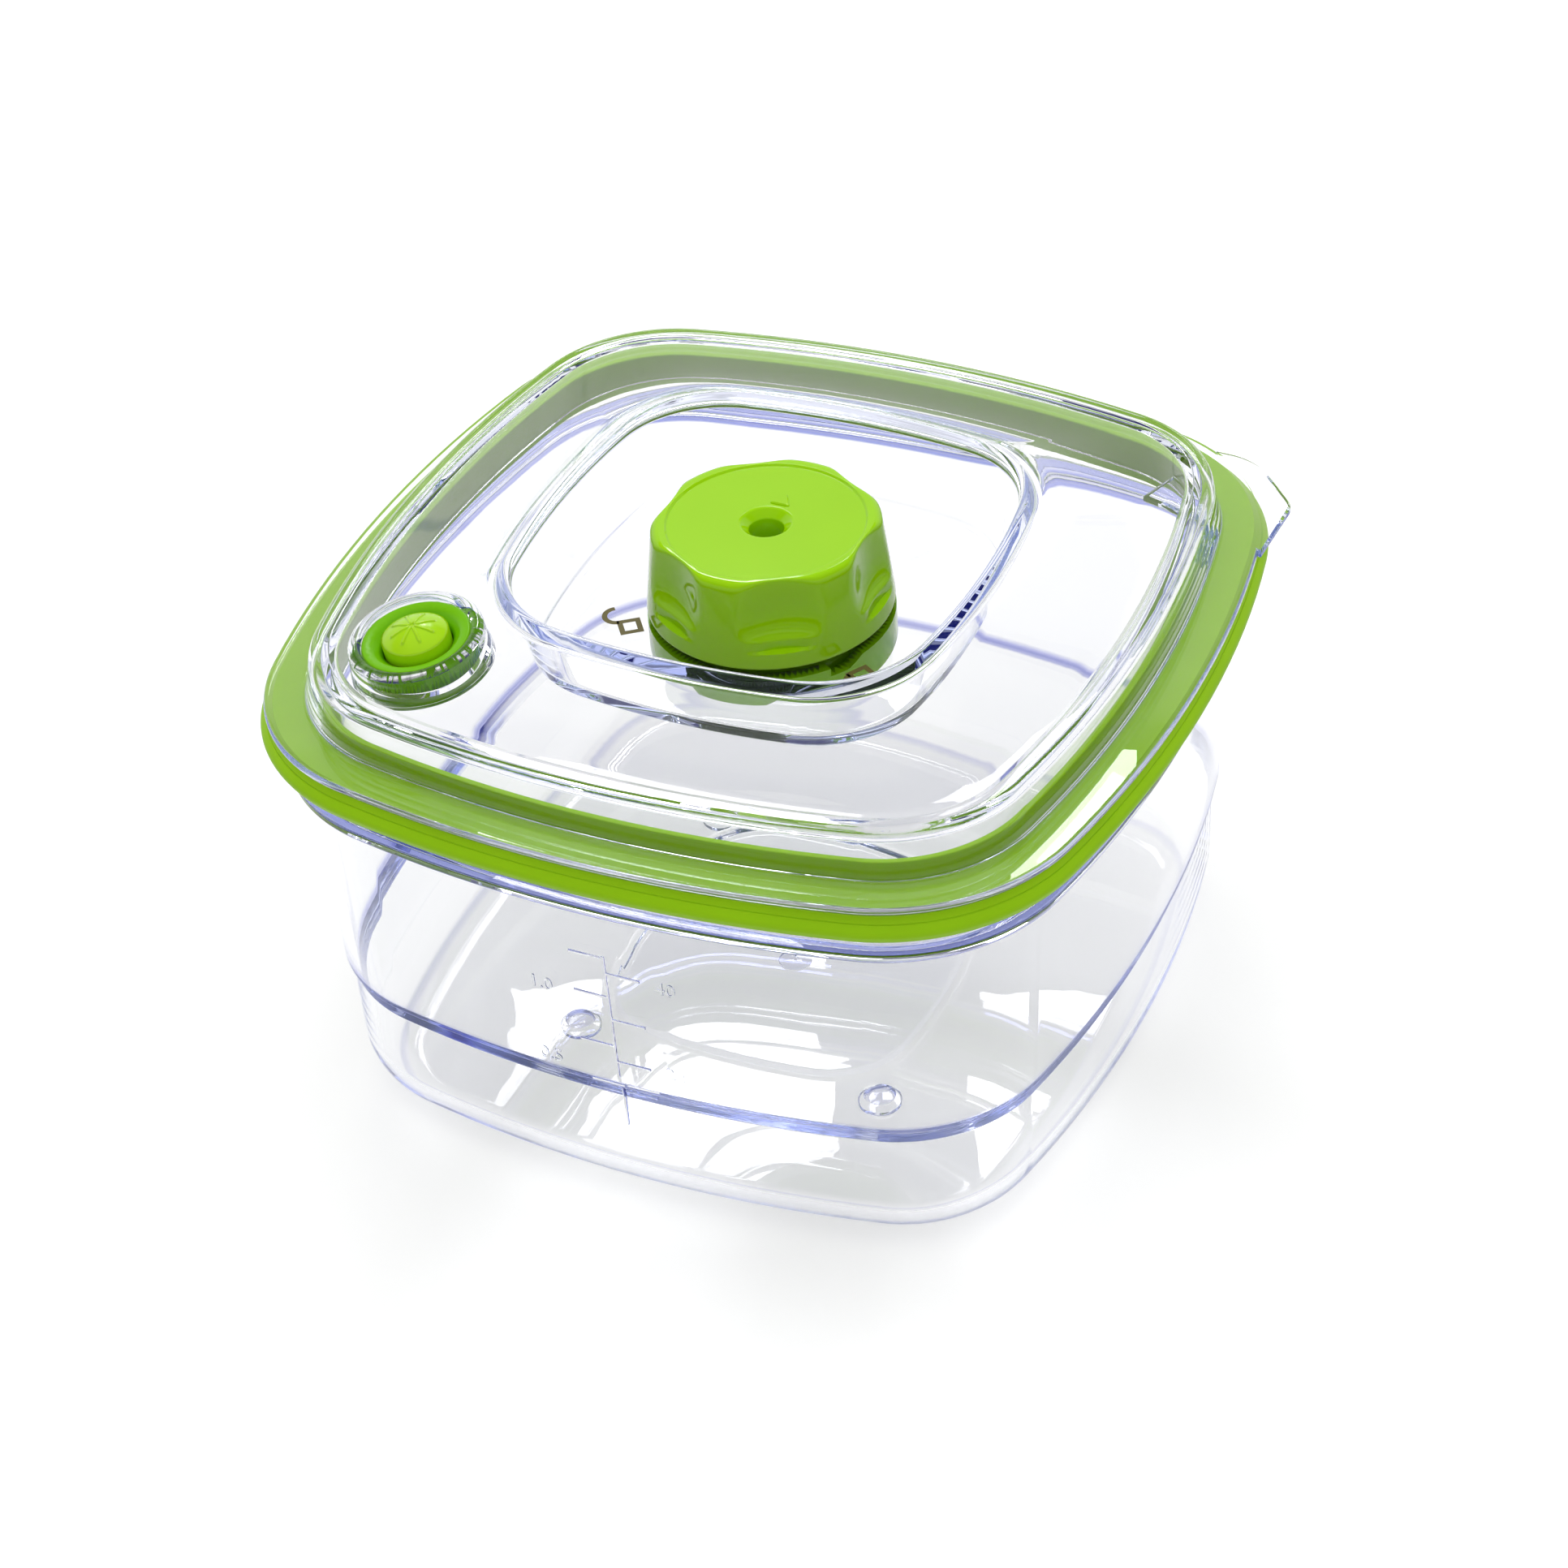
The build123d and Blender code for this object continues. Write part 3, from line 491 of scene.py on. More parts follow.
def dimple_tree() -> bpy.types.NodeTree:
    """Geometry nodes that press equal thumb dimples into the side of a turned knob.

    Returns:
        A tree in which every point outside Inner, and above Low, moves in to the nearest of
        Count cylinders of Radius, whose axes stand at Reach and whose lower ends are scooped.
    """
    number = "NodeSocketFloat"
    graph = geometry_graph("thumb dimples", {
        "Count": ("NodeSocketInt", 6), "Reach": (number, 0.038), "Radius": (number, 0.019),
        "Base": (number, 0.0), "Low": (number, 0.006), "Scoop": (number, 0.006),
        "Scoop depth": (number, 0.004), "Edge": (number, 0.001), "Inner": (number, 0.0189),
        "Hollow": (number, 0.0205), "Roof": (number, 0.0148),
    })
    given, maths = graph.given, graph.maths
    spot = graph.add("GeometryNodeInputPosition").outputs[0]
    x, y, z = graph.add("ShaderNodeSeparateXYZ", {0: spot}).outputs
    height = maths("SUBTRACT", z, given["Base"])
    radius = maths("SQRT", maths("ADD", maths("MULTIPLY", x, x), maths("MULTIPLY", y, y)))
    step = maths("DIVIDE", math.pi, given["Count"])
    away = maths("WRAP", maths("ARCTAN2", y, x), step, maths("MULTIPLY", step, -1.0))
    top = maths("ADD", given["Low"], given["Scoop"])
    below = maths("DIVIDE", maths("SUBTRACT", top, height), given["Scoop"])
    share = maths("MINIMUM", maths("MAXIMUM", below, 0.0), 1.0)
    lift = maths("SUBTRACT", 1.0, maths("SQRT", maths("SUBTRACT", 1.0, maths("MULTIPLY", share, share))))
    bow = maths("SUBTRACT", given["Radius"], maths("MULTIPLY", given["Scoop depth"], lift))
    across = maths("MULTIPLY", given["Reach"], maths("SINE", away))
    depth = maths("SUBTRACT", maths("MULTIPLY", bow, bow), maths("MULTIPLY", across, across))
    ahead = maths("MULTIPLY", given["Reach"], maths("COSINE", away))
    cut = maths("SUBTRACT", ahead, maths("SQRT", maths("MAXIMUM", depth, 0.0)))
    pressed = maths("SMOOTH_MIN", radius, cut, given["Edge"])
    outside = maths("GREATER_THAN", radius, given["Inner"])
    inside = maths("LESS_THAN", radius, given["Hollow"])
    hollow = maths("MULTIPLY", inside, maths("LESS_THAN", height, given["Roof"]))
    high = maths("GREATER_THAN", height, maths("MULTIPLY", given["Low"], 0.6))
    chosen = maths("MULTIPLY", maths("MULTIPLY", outside, high), maths("SUBTRACT", 1.0, hollow))
    scale = maths("DIVIDE", pressed, maths("MAXIMUM", radius, 0.001))
    parts = {0: maths("MULTIPLY", x, scale), 1: maths("MULTIPLY", y, scale), 2: z}
    place = graph.add("ShaderNodeCombineXYZ", parts).outputs[0]
    moved = {"Geometry": given["Geometry"], "Selection": chosen, "Position": place}
    return graph.finish(graph.add("GeometryNodeSetPosition", moved).outputs[0])


def bar_tree() -> bpy.types.NodeTree:
    """Geometry nodes that lay a level round bar of one size on every point."""
    number = "NodeSocketFloat"
    graph = geometry_graph("bars", {"Length": (number, 0.007), "Radius": (number, 0.0003)})
    sizes = {"Vertices": 20, "Radius": graph.given["Radius"], "Depth": graph.given["Length"]}
    bar = graph.add("GeometryNodeMeshCylinder", sizes).outputs["Mesh"]
    placed = {"Points": graph.given["Geometry"], "Instance": bar, "Rotation": (0, math.pi / 2, 0)}
    return graph.finish(graph.add("GeometryNodeInstanceOnPoints", placed).outputs[0])


# Finishes


@cache
def moulded_group() -> bpy.types.NodeTree:
    """Shared effect of moulded plastic: slow ripple, fine grain and colour drift.

    Returns:
        A shader group with the outputs Height, Tint and Rough, made once.
    """
    number = "NodeSocketFloat"
    graph = Graph.group("moulded surface", "ShaderNodeTree", {
        "Ripple size": (number, 60.0), "Ripple": (number, 0.5), "Grain size": (number, 2500.0),
        "Grain": (number, 0.1), "Drift": (number, 0.05),
    }, [("Height", number), ("Tint", number), ("Rough", number)])
    given, maths = graph.given, graph.maths
    place = graph.add("ShaderNodeTexCoord").outputs["Object"]
    slow = {"Vector": place, "Scale": given["Ripple size"], "Detail": 1.0}
    fine = {"Vector": place, "Scale": given["Grain size"], "Detail": 3.0}
    ripple, grain = (graph.add("ShaderNodeTexNoise", values).outputs["Fac"] for values in (slow, fine))
    height = maths("ADD", maths("MULTIPLY", ripple, given["Ripple"]), maths("MULTIPLY", grain, given["Grain"]))
    graph.feed(graph.result["Height"], height)
    drift = maths("MULTIPLY", maths("SUBTRACT", ripple, 0.5), given["Drift"])
    graph.feed(graph.result["Tint"], maths("ADD", drift, 1.0))
    graph.feed(graph.result["Rough"], maths("ADD", maths("MULTIPLY", grain, 0.3), 0.85))
    return graph.tree


def new_material(name: str, plain: dict[str, object]) -> tuple[bpy.types.Material, Graph, bpy.types.Node]:
    """A new material, its graph and its shader, whose plain values are set."""
    material = bpy.data.materials.new(name)
    material.use_nodes = True
    shader = material.node_tree.nodes["Principled BSDF"]
    for label, value in plain.items():
        shader.inputs[label].default_value = value
    return material, Graph(material.node_tree), shader


def mould(graph: Graph, shader: bpy.types.Node, bump: float, **sizes: float) -> bpy.types.NodeOutputs:
    """Gives a shader the bump of the moulded surface.

    Args:
        graph: the material's graph.
        shader: the shader whose normal is fed.
        bump: strength of the bump.
        sizes: inputs of the shared group by their names, with an underscore for each space.

    Returns:
        The shared group's outputs.
    """
    effect = graph.add("ShaderNodeGroup", node_tree=moulded_group())
    for label, value in sizes.items():
        effect.inputs[label.replace("_", " ")].default_value = value
    values = {"Strength": bump, "Distance": BUMP_DISTANCE, "Height": effect.outputs["Height"]}
    graph.feed(shader.inputs["Normal"], graph.add("ShaderNodeBump", values).outputs["Normal"])
    return effect.outputs


@dataclass(frozen=True)
class Finish:
    """An opaque moulded finish: gloss or matte plastic, silicone, rubber or steel."""

    name: str
    colour: tuple[float, float, float]
    roughness: float
    specular: float = 0.5
    metallic: float = 0.0
    depth: float = 0.0
    depth_radius: tuple[float, float, float] = (0.001, 0.002, 0.0005)
    ripple: float = 0.3
    ripple_size: float = 60.0
    grain: float = 0.1
    grain_size: float = 2500.0
    drift: float = 0.08
    bump: float = 0.1

    @cache
    def material(self) -> bpy.types.Material:
        """The finish as a material, made once."""
        material, graph, shader = new_material(self.name, {
            "Specular IOR Level": self.specular, "Metallic": self.metallic, "Subsurface Weight": self.depth,
            "Subsurface Radius": self.depth_radius, "Subsurface Scale": 1.0,
        })
        effect = mould(
            graph, shader, self.bump, Ripple_size=self.ripple_size, Ripple=self.ripple,
            Grain_size=self.grain_size, Grain=self.grain, Drift=self.drift,
        )
        values = {0: self.colour, "Scale": effect["Tint"]}
        tint = graph.add("ShaderNodeVectorMath", values, operation="SCALE").outputs["Vector"]
        graph.feed(shader.inputs["Base Color"], tint)
        graph.feed(shader.inputs["Roughness"], graph.maths("MULTIPLY", effect["Rough"], self.roughness))
        return material


@dataclass(frozen=True)
class ClearFinish:
    """Clear moulded plastic, which turns blue where the eye looks far through it.

    Each band is a low and a high height, in millimetres, and how far it takes on the edge's colour, a painted
    blue edge shade.
    """

    name: str
    refraction: float = 1.5
    roughness: float = 0.0
    absorbed: tuple[float, float, float] = (0.3, 0.42, 0.95)
    density: float = 7.0
    shadow: float = 0.95
    gleam: float = 1.0
    ripple_size: float = 55.0
    bump: float = 0.04
    painted_edge_bands: tuple[tuple[float, float, float], ...] = ()
    # Colour of the painted blue edge shade.
    edge: tuple[float, float, float] = (0.10, 0.12, 0.52)
    soft_share: float = 0.2
    top: float = 120.0

    def painted_edge_colour(self, graph: Graph) -> bpy.types.NodeSocket:
        """White, but with painted blue edge shade in bands at the heights of the piece's edges."""
        place = graph.add("ShaderNodeTexCoord").outputs["Object"]
        height = graph.add("ShaderNodeSeparateXYZ", {0: place}).outputs["Z"]
        share = graph.maths("DIVIDE", height, self.top * MM)
        ramp = graph.add("ShaderNodeValToRGB", {"Fac": share})
        stops = ramp.color_ramp.elements
        stops[0].color = stops[1].color = (1, 1, 1, 1)
        stops[1].position = 1.0
        # Each band paints blue edge shade into the base colour.
        for low, high, share in self.painted_edge_bands:
            soft, painted_blue = (high - low) * self.soft_share, [1 + share * (part - 1) for part in self.edge]
            for z, colour in ((low, (1, 1, 1)), (low + soft, painted_blue), (high - soft, painted_blue), (high, (1, 1, 1))):
                stops.new(z / self.top).color = (*colour, 1)
        return ramp.outputs["Color"]

    @cache
    def material(self) -> bpy.types.Material:
        """The finish as a material, made once."""
        material, graph, shader = new_material(self.name, {
            "Roughness": self.roughness, "IOR": self.refraction, "Transmission Weight": 1.0,
            "Specular Tint": (self.gleam, self.gleam, self.gleam, 1),
        })
        output = material.node_tree.nodes["Material Output"]
        # The base colour carries the painted blue edge shade.
        graph.feed(shader.inputs["Base Color"], self.painted_edge_colour(graph))
        mould(graph, shader, self.bump, Ripple_size=self.ripple_size, Ripple=1.0, Grain=0.0)
        veil = graph.add("ShaderNodeBsdfTransparent", {"Color": (self.shadow, self.shadow, self.shadow, 1)})
        blocked = graph.add("ShaderNodeLightPath").outputs["Is Shadow Ray"]
        choice = graph.add("ShaderNodeMixShader", {0: blocked, 1: shader.outputs[0], 2: veil.outputs[0]})
        graph.feed(output.inputs["Surface"], choice.outputs["Shader"])
        values = {"Color": (*self.absorbed, 1), "Density": self.density}
        thickness = graph.add("ShaderNodeVolumeAbsorption", values)
        graph.feed(output.inputs["Volume"], thickness.outputs["Volume"])
        return material


# The tub's bands paint blue edge shade at its base, its shoulder and its ledge.
CLEAR_TUB = ClearFinish("clear tub", painted_edge_bands=((2.2, 3.2, 0.5), (31.0, 32.5, 0.85), (76.6, 78.0, 1.0)))
CLEAR_LID = ClearFinish("clear lid", gleam=0.5)
LIME_GLOSS = Finish("lime gloss plastic", (0.33, 0.66, 0.001), 0.07, specular=0.25, depth=0.1, bump=0.03)
LIME_BUTTON = Finish("lime button", (0.40, 0.72, 0.004), 0.2, specular=0.35, depth=0.2, bump=0.04)
GREEN_HOUSING = Finish("green housing plastic", (0.25, 0.58, 0.001), 0.15, specular=0.4, bump=0.04)
GREEN_SILICONE = Finish(
    "green silicone", (0.29, 0.56, 0.004), 0.42, specular=0.12, depth=0.2, grain=0.3, bump=0.12,
)
GREEN_PLUG = Finish("green plug silicone", (0.17, 0.50, 0.001), 0.3, specular=0.15, bump=0.05)
WHITE_SEAL = Finish("white seal silicone", (0.75, 0.77, 0.74), 0.5, depth=0.1)
PALE_STEM = Finish("pale stem plastic", (0.72, 0.73, 0.70), 0.4)
BLACK_RUBBER = Finish("black rubber", (0.015, 0.015, 0.015), 0.6, grain=0.4)
SPRING_STEEL = Finish("spring steel", (0.55, 0.55, 0.57), 0.25, metallic=1.0, grain=0.5, drift=0.02)
OLIVE_INK = Finish("olive ink", (0.14, 0.115, 0.03), 0.55, grain=0.5, bump=0.2)


# Sub-assemblies


@dataclass
class FlangeLine:
    """Sizes that the lid, the gasket and the container share."""

    z: float = 92.0
    outline: Outline = Outline(86.0, 38.8, 256.0)

    def at(self, half: float) -> Outline:
        """The outline parallel to the flange with this half width."""
        return self.outline.inset(self.outline.half - half)


@dataclass
class Container:
    """Clear tub with a ledge, a stepped wall, a rounded base and a raised scale."""

    line: FlangeLine
    wall: float = 2.2
    floor: float = 2.4
    top_half: float = 80.2
    top_drop: float = 3.4
    ledge_half: float = 83.0
    ledge_drop: float = 13.1
    ledge_thickness: float = 1.8
    neck_half: float = 80.1
    shoulder_half: float = 77.9
    shoulder_z: float = 32.2
    shoulder_step: float = 1.3
    shoulder_rise: float = 1.0
    inner_rise: float = 4.5
    low_half: float = 75.8
    base_round: float = 11.5
    outer_rounds: tuple[float, ...] = (0.7, 0.5, 0.45, 0.5)
    inner_rounds: tuple[float, ...] = (0.7, 0, 1.5, 1.5)
    ledge_rounds: tuple[float, ...] = (0.5, 0.6, 0.6)
    foot_height: float = 1.0
    foot_radius: float = 4.2
    foot_place: float = 32.5
    foot_top: float = 2.2
    foot_round: float = 0.4
    dimple_radius: float = 2.9
    dimple_draft: float = 0.5
    dimple_depth: float = 0.9
    dimple_round: float = 0.7
    pad: Outline = Outline(34.0, 17.5, 140.0)
    pad_rise: float = 1.0
    pad_slope: float = 1.4
    pad_soft: Point = (0.6, 0.1)
    flat_half: float = 60.0
    flat_margin: float = 20.0
    middle_halves: Point = (0.3, 1.0)
    gate_radius: float = 3.4
    gate_depth: float = 0.6
    gate_round: float = 0.2
    overrun: float = 2.0
    relief: float = 0.24
    mark_radius: float = 0.36
    mark_x: float = 0.5
    mark_low: float = 21.5
    mark_high: float = 65.3
    mark_length: float = 7.0
    left_marks: tuple[float, ...] = (29.8, 42.7, 55.0, 64.7)
    right_marks: tuple[float, ...] = (30.3, 38.7, 49.4, 61.0)
    digit_size: float = 4.2
    digit_relief: float = 0.192
    numbers: tuple[tuple[str, float, float], ...] = (
        ("1.0", -13.6, 54.2), ("0.5", -13.6, 36.0), ("40", 12.5, 60.2), ("24", 12.5, 38.6),
    )

    def skin(self, inset: float, low: float, rise: float, rounds: Sequence[float] = (0,) * 5) -> list[Corner]:
        """One side of the wall, from the top down.

        Args:
            inset: how far it is moved inwards.
            low: height of its lowest corner.
            rise: height of the shoulder's slope.
            rounds: the round of each corner.

        Returns:
            Its five corners.
        """
        places = [
            (self.top_half, self.line.z - self.top_drop),
            (self.neck_half, self.line.z - self.ledge_drop - self.ledge_thickness),
            (self.shoulder_half, self.shoulder_z),
            (self.shoulder_half - self.shoulder_step, self.shoulder_z - rise),
            (self.low_half, low),
        ]
        return [(half - inset, z, soft) for (half, z), soft in zip(places, rounds)]

    def bottom(self, z: float) -> list[Point]:
        """The underside or the floor, from the wall in to the middle."""
        half, slope, high = self.pad.half, self.pad_slope, z + self.pad_rise
        across, along = self.pad_soft
        first, second = self.middle_halves
        return [
            (half + self.flat_margin, z), (half + across, z), (half, z + along), (half - slope, high - along),
            (half - slope - across, high), ((half - slope) / 2, high), (second, high), (first, high),
        ]

    def build(self) -> None:
        """Makes the tub with its feet and its scale."""
        base, floor = self.foot_height, self.foot_height + self.floor
        outer = self.skin(0, base, self.shoulder_rise, (*self.outer_rounds, self.base_round))
        inner = self.skin(self.wall, floor, self.inner_rise, (*self.inner_rounds, self.base_round - self.wall))
        top = self.line.z - self.ledge_drop
        edges = ((self.neck_half, top), (self.ledge_half, top), (self.ledge_half, top - self.ledge_thickness))
        outer[1:1] = [(*edge, soft) for edge, soft in zip(edges, self.ledge_rounds)]
        corners = outer + self.bottom(base) + self.bottom(floor)[::-1] + inner[::-1]
        family = Family((
            *map(circle, self.middle_halves), self.pad.inset(self.pad_slope), self.pad,
            self.line.at(self.flat_half), self.line.outline,
        ))
        piece = family_piece("container_piece", family, rounded(corners, 10))
        low, high = floor - self.dimple_depth, floor + self.overrun
        foot_low, foot_high = (self.foot_radius, 0, self.foot_round), (self.foot_radius, self.foot_top)
        dimple_low = (self.dimple_radius, low, self.dimple_round)
        dimple_high = (self.dimple_radius + self.dimple_draft, high)
        feet, dimples = [], []
        for x in (-self.foot_place, self.foot_place):
            for y in (-self.foot_place, self.foot_place):
                place = Matrix.Translation(Vector((x, y, 0)) * MM)
                feet.append(plug("foot", foot_low, foot_high, 4, 48, place))
                dimples.append(plug("dimple", dimple_low, dimple_high, 6, 48, place))
        gate_top = base + self.pad_rise + self.gate_depth
        gate = plug("gate", (self.gate_radius, base), (self.gate_radius, gate_top, self.gate_round), 4, 64)
        combine(piece, feet + self.scale(), [*dimples, gate])
        settle(piece, Body.CONTAINER, CLEAR_TUB.material(), "container")

    def on_wall(self, x: float, z: float, relief: float) -> Vector:
        """A point on the front wall, raised by relief, in metres."""
        rows = self.skin(0, self.foot_height, self.shoulder_rise)
        half = rows[-1][0]
        for (high_half, high, _), (low_half, low, _) in zip(rows, rows[1:]):
            if low <= z <= high:
                half = low_half + (high_half - low_half) * (z - low) / (high - low)
        outline = self.line.at(half)
        bow = outline.side_radius - math.sqrt(outline.side_radius**2 - x**2)
        return Vector((x, bow - half - relief, z)) * MM

    def upright(self) -> bpy.types.Object:
        """The scale's upright line, which follows the wall past the shoulder."""
        rows, sides = 14, 16
        heights = [self.mark_low + (self.mark_high - self.mark_low) * row / (rows - 1) for row in range(rows)]
        angles = [math.tau * side / sides for side in range(sides)]
        radius, sink = self.mark_radius, self.mark_radius - self.relief
        loops = []
        for z in heights:
            ring = [(self.mark_x + radius * math.cos(a), radius * math.sin(a) - sink) for a in angles]
            loops.append([self.on_wall(x, z, relief) for x, relief in ring])
        return new_piece("mark", loops, closed=False)

    def ticks(self) -> bpy.types.Object:
        """The scale's level lines, one bar on every mark."""
        sink = self.relief - self.mark_radius
        reach = self.mark_length / 2
        spots = [self.on_wall(self.mark_x - reach, z, sink) for z in self.left_marks]
        spots += [self.on_wall(self.mark_x + reach, z, sink) for z in self.right_marks]
        mesh = bpy.data.meshes.new("ticks")
        mesh.from_pydata(spots, [], [])
        piece = linked("ticks", mesh)
        sizes = {"Length": self.mark_length * MM, "Radius": self.mark_radius * MM}
        grow(piece, bar_tree(), Material=CLEAR_TUB.material(), **sizes)
        finish_mesh(piece)
        return piece

    def number(self, label: str, x: float, z: float) -> bpy.types.Object:
        """A raised plain number beside the scale, as a solid.

        Args:
            label: the digits.
            x: place of its middle across the front.
            z: height of its middle.

        Returns:
            The solid, sunk into the wall.
        """
        curve = bpy.data.curves.new(label, "FONT")
        curve.body, curve.size, curve.align_x, curve.align_y = label, self.digit_size * MM, "CENTER", "CENTER"
        curve.resolution_u = 3
        source = linked(label, curve)
        graph = bpy.context.evaluated_depsgraph_get()
        mesh = bpy.data.meshes.new_from_object(source.evaluated_get(graph))
        bpy.data.objects.remove(source)
        tool = bmesh.new()
        tool.from_mesh(mesh)
        bmesh.ops.remove_doubles(tool, verts=tool.verts, dist=MERGE)
        faces = bmesh.ops.extrude_face_region(tool, geom=tool.faces[:])["geom"]
        front = {item for item in faces if isinstance(item, bmesh.types.BMVert)}
        for vertex in tool.verts:
            relief = self.digit_relief if vertex in front else -self.wall / 3
            vertex.co = self.on_wall(x + vertex.co.x / MM, z + vertex.co.y / MM, relief)
        tool.to_mesh(mesh)
        tool.free()
        piece = linked(f"number {label}", mesh)
        finish_mesh(piece)
        return piece

    def scale(self) -> list[bpy.types.Object]:
        """The raised lines and plain numbers of the measuring scale."""
        numbers = [self.number(*item) for item in self.numbers]
        return [self.upright(), self.ticks(), *numbers]


@dataclass
class Lid:
    """Clear lid: flange, hollow ridge, dome, well, indicator boss and pull tab."""

    line: FlangeLine
    flange: float = 1.8
    foot_half: float = 77.9
    ridge_half: float = 76.3
    ridge_z: float = 9.2
    crest: float = 3.7
    crown: float = 2.6
    ridge_wall: float = 1.8
    crease_half: float = 71.0
    crease_z: float = 8.4
    skirt_half: float = 74.0
    skirt: float = 1.5
    skirt_depth: float = 4.2
    thickness: float = 2.2
    dome_z: float = 16.4
    dome_slope_share: float = 0.25
    rim: Outline = Outline(43.7, 21.8, 162.0)
    rim_round: float = 1.15
    rim_under: Point = (1.5, 0.6)
    rim_margin: float = 1.0
    well: Outline = Outline(39.1, 19.8, 143.5)
    well_drop: float = 1.0
    hub_radius: float = 12.0
    hub_margin: float = 12.0
    middle_radius: float = 8.0
    dome_steps: int = 14
    tab_corners: tuple[Corner, ...] = (
        (55.0, 55.0), (62.7, 76.3), (71.5, 76.0, 14.0), (83.0, 63.1, 5.0), (82.6, 45.9),
    )
    tab_middle: Point = (68.0, 64.0)
    tab_edge: float = 0.5
    tab_sink: float = 0.02

    def dome_height(self, half: float) -> float:
        """Height of the dome above the flange at a half width."""
        share = (self.crease_half - half) / (self.crease_half - self.rim.half)
        rise = self.dome_slope_share * share + (1 - self.dome_slope_share) * max(share, 0) ** 3
        return self.crease_z + (self.dome_z - self.crease_z) * rise

    def profile(self) -> list[Point]:
        """The lid's whole section, from the flange's edge inwards and back underneath."""
        outer, wall = self.line.outline.half, self.thickness
        under, hollow = -self.well_drop - wall, self.ridge_z - self.crown
        lean = (self.foot_half - self.ridge_half) / self.ridge_z
        slope = (self.rim.half - self.well.half) / (self.dome_z + self.well_drop)
        span = (self.rim.half - self.crease_half) / self.dome_steps
        halves = [self.crease_half + span * step for step in range(1, self.dome_steps - 1)]
        dome = [(half, self.dome_height(half)) for half in halves]
        below = [(half, z - wall) for half, z in dome[::-1]]
        skirt_inner, ridge_inner = self.skirt_half - self.skirt, self.foot_half - self.ridge_wall
        corners = [
            (outer, -self.flange, 0.7), (outer, 0, 0.9), (self.foot_half, 0, 0.9),
            (self.ridge_half, self.ridge_z, 2.1), (self.ridge_half - self.crest, self.ridge_z, 0.8),
            (self.crease_half, self.crease_z, 0.4), *dome,
            (self.rim.half, self.dome_z, self.rim_round), (self.well.half, -self.well_drop, 1.5),
            (self.hub_radius, -self.well_drop, 0.3), (self.hub_radius, under, 0.3),
            (self.well.half + wall - slope * wall, under, 1.2),
            (self.rim.half + self.rim_under[0], self.dome_z - wall - self.rim_under[1], 1.2), *below,
            (skirt_inner, self.crease_z - wall, 0.6), (skirt_inner, -self.skirt_depth, 0.4),
            (self.skirt_half, -self.skirt_depth, 0.4), (self.skirt_half, hollow, 0.3),
            (ridge_inner - lean * hollow, hollow, 0.3), (ridge_inner, -self.flange, 0.4),
        ]
        return [(half, z + self.line.z) for half, z in rounded(corners, 8)]

    def build(self, indicator: "Indicator") -> None:
        """Makes the lid, with the indicator's boss on its dome."""
        family = Family((
            circle(self.middle_radius), circle(self.hub_radius + self.hub_margin), self.well, self.rim,
            self.rim.inset(-self.rim_margin), self.line.at(self.crease_half), self.line.outline,
        ))
        piece = family_piece("lid_shell_piece", family, self.profile())
        combine(piece, [indicator.boss(), self.tab()], [indicator.bore()])
        settle(piece, Body.LID, CLEAR_LID.material(), "lid_shell")

    def tab(self) -> bpy.types.Object:
        """The pull tab at the corner, as a rounded plate."""
        edge = self.tab_edge
        layers = ((edge, -self.flange), (0, edge - self.flange), (0, -edge), (edge, -self.tab_sink))
        return layered("tab", rounded(self.tab_corners, 16), self.tab_middle, self.line.z, layers)


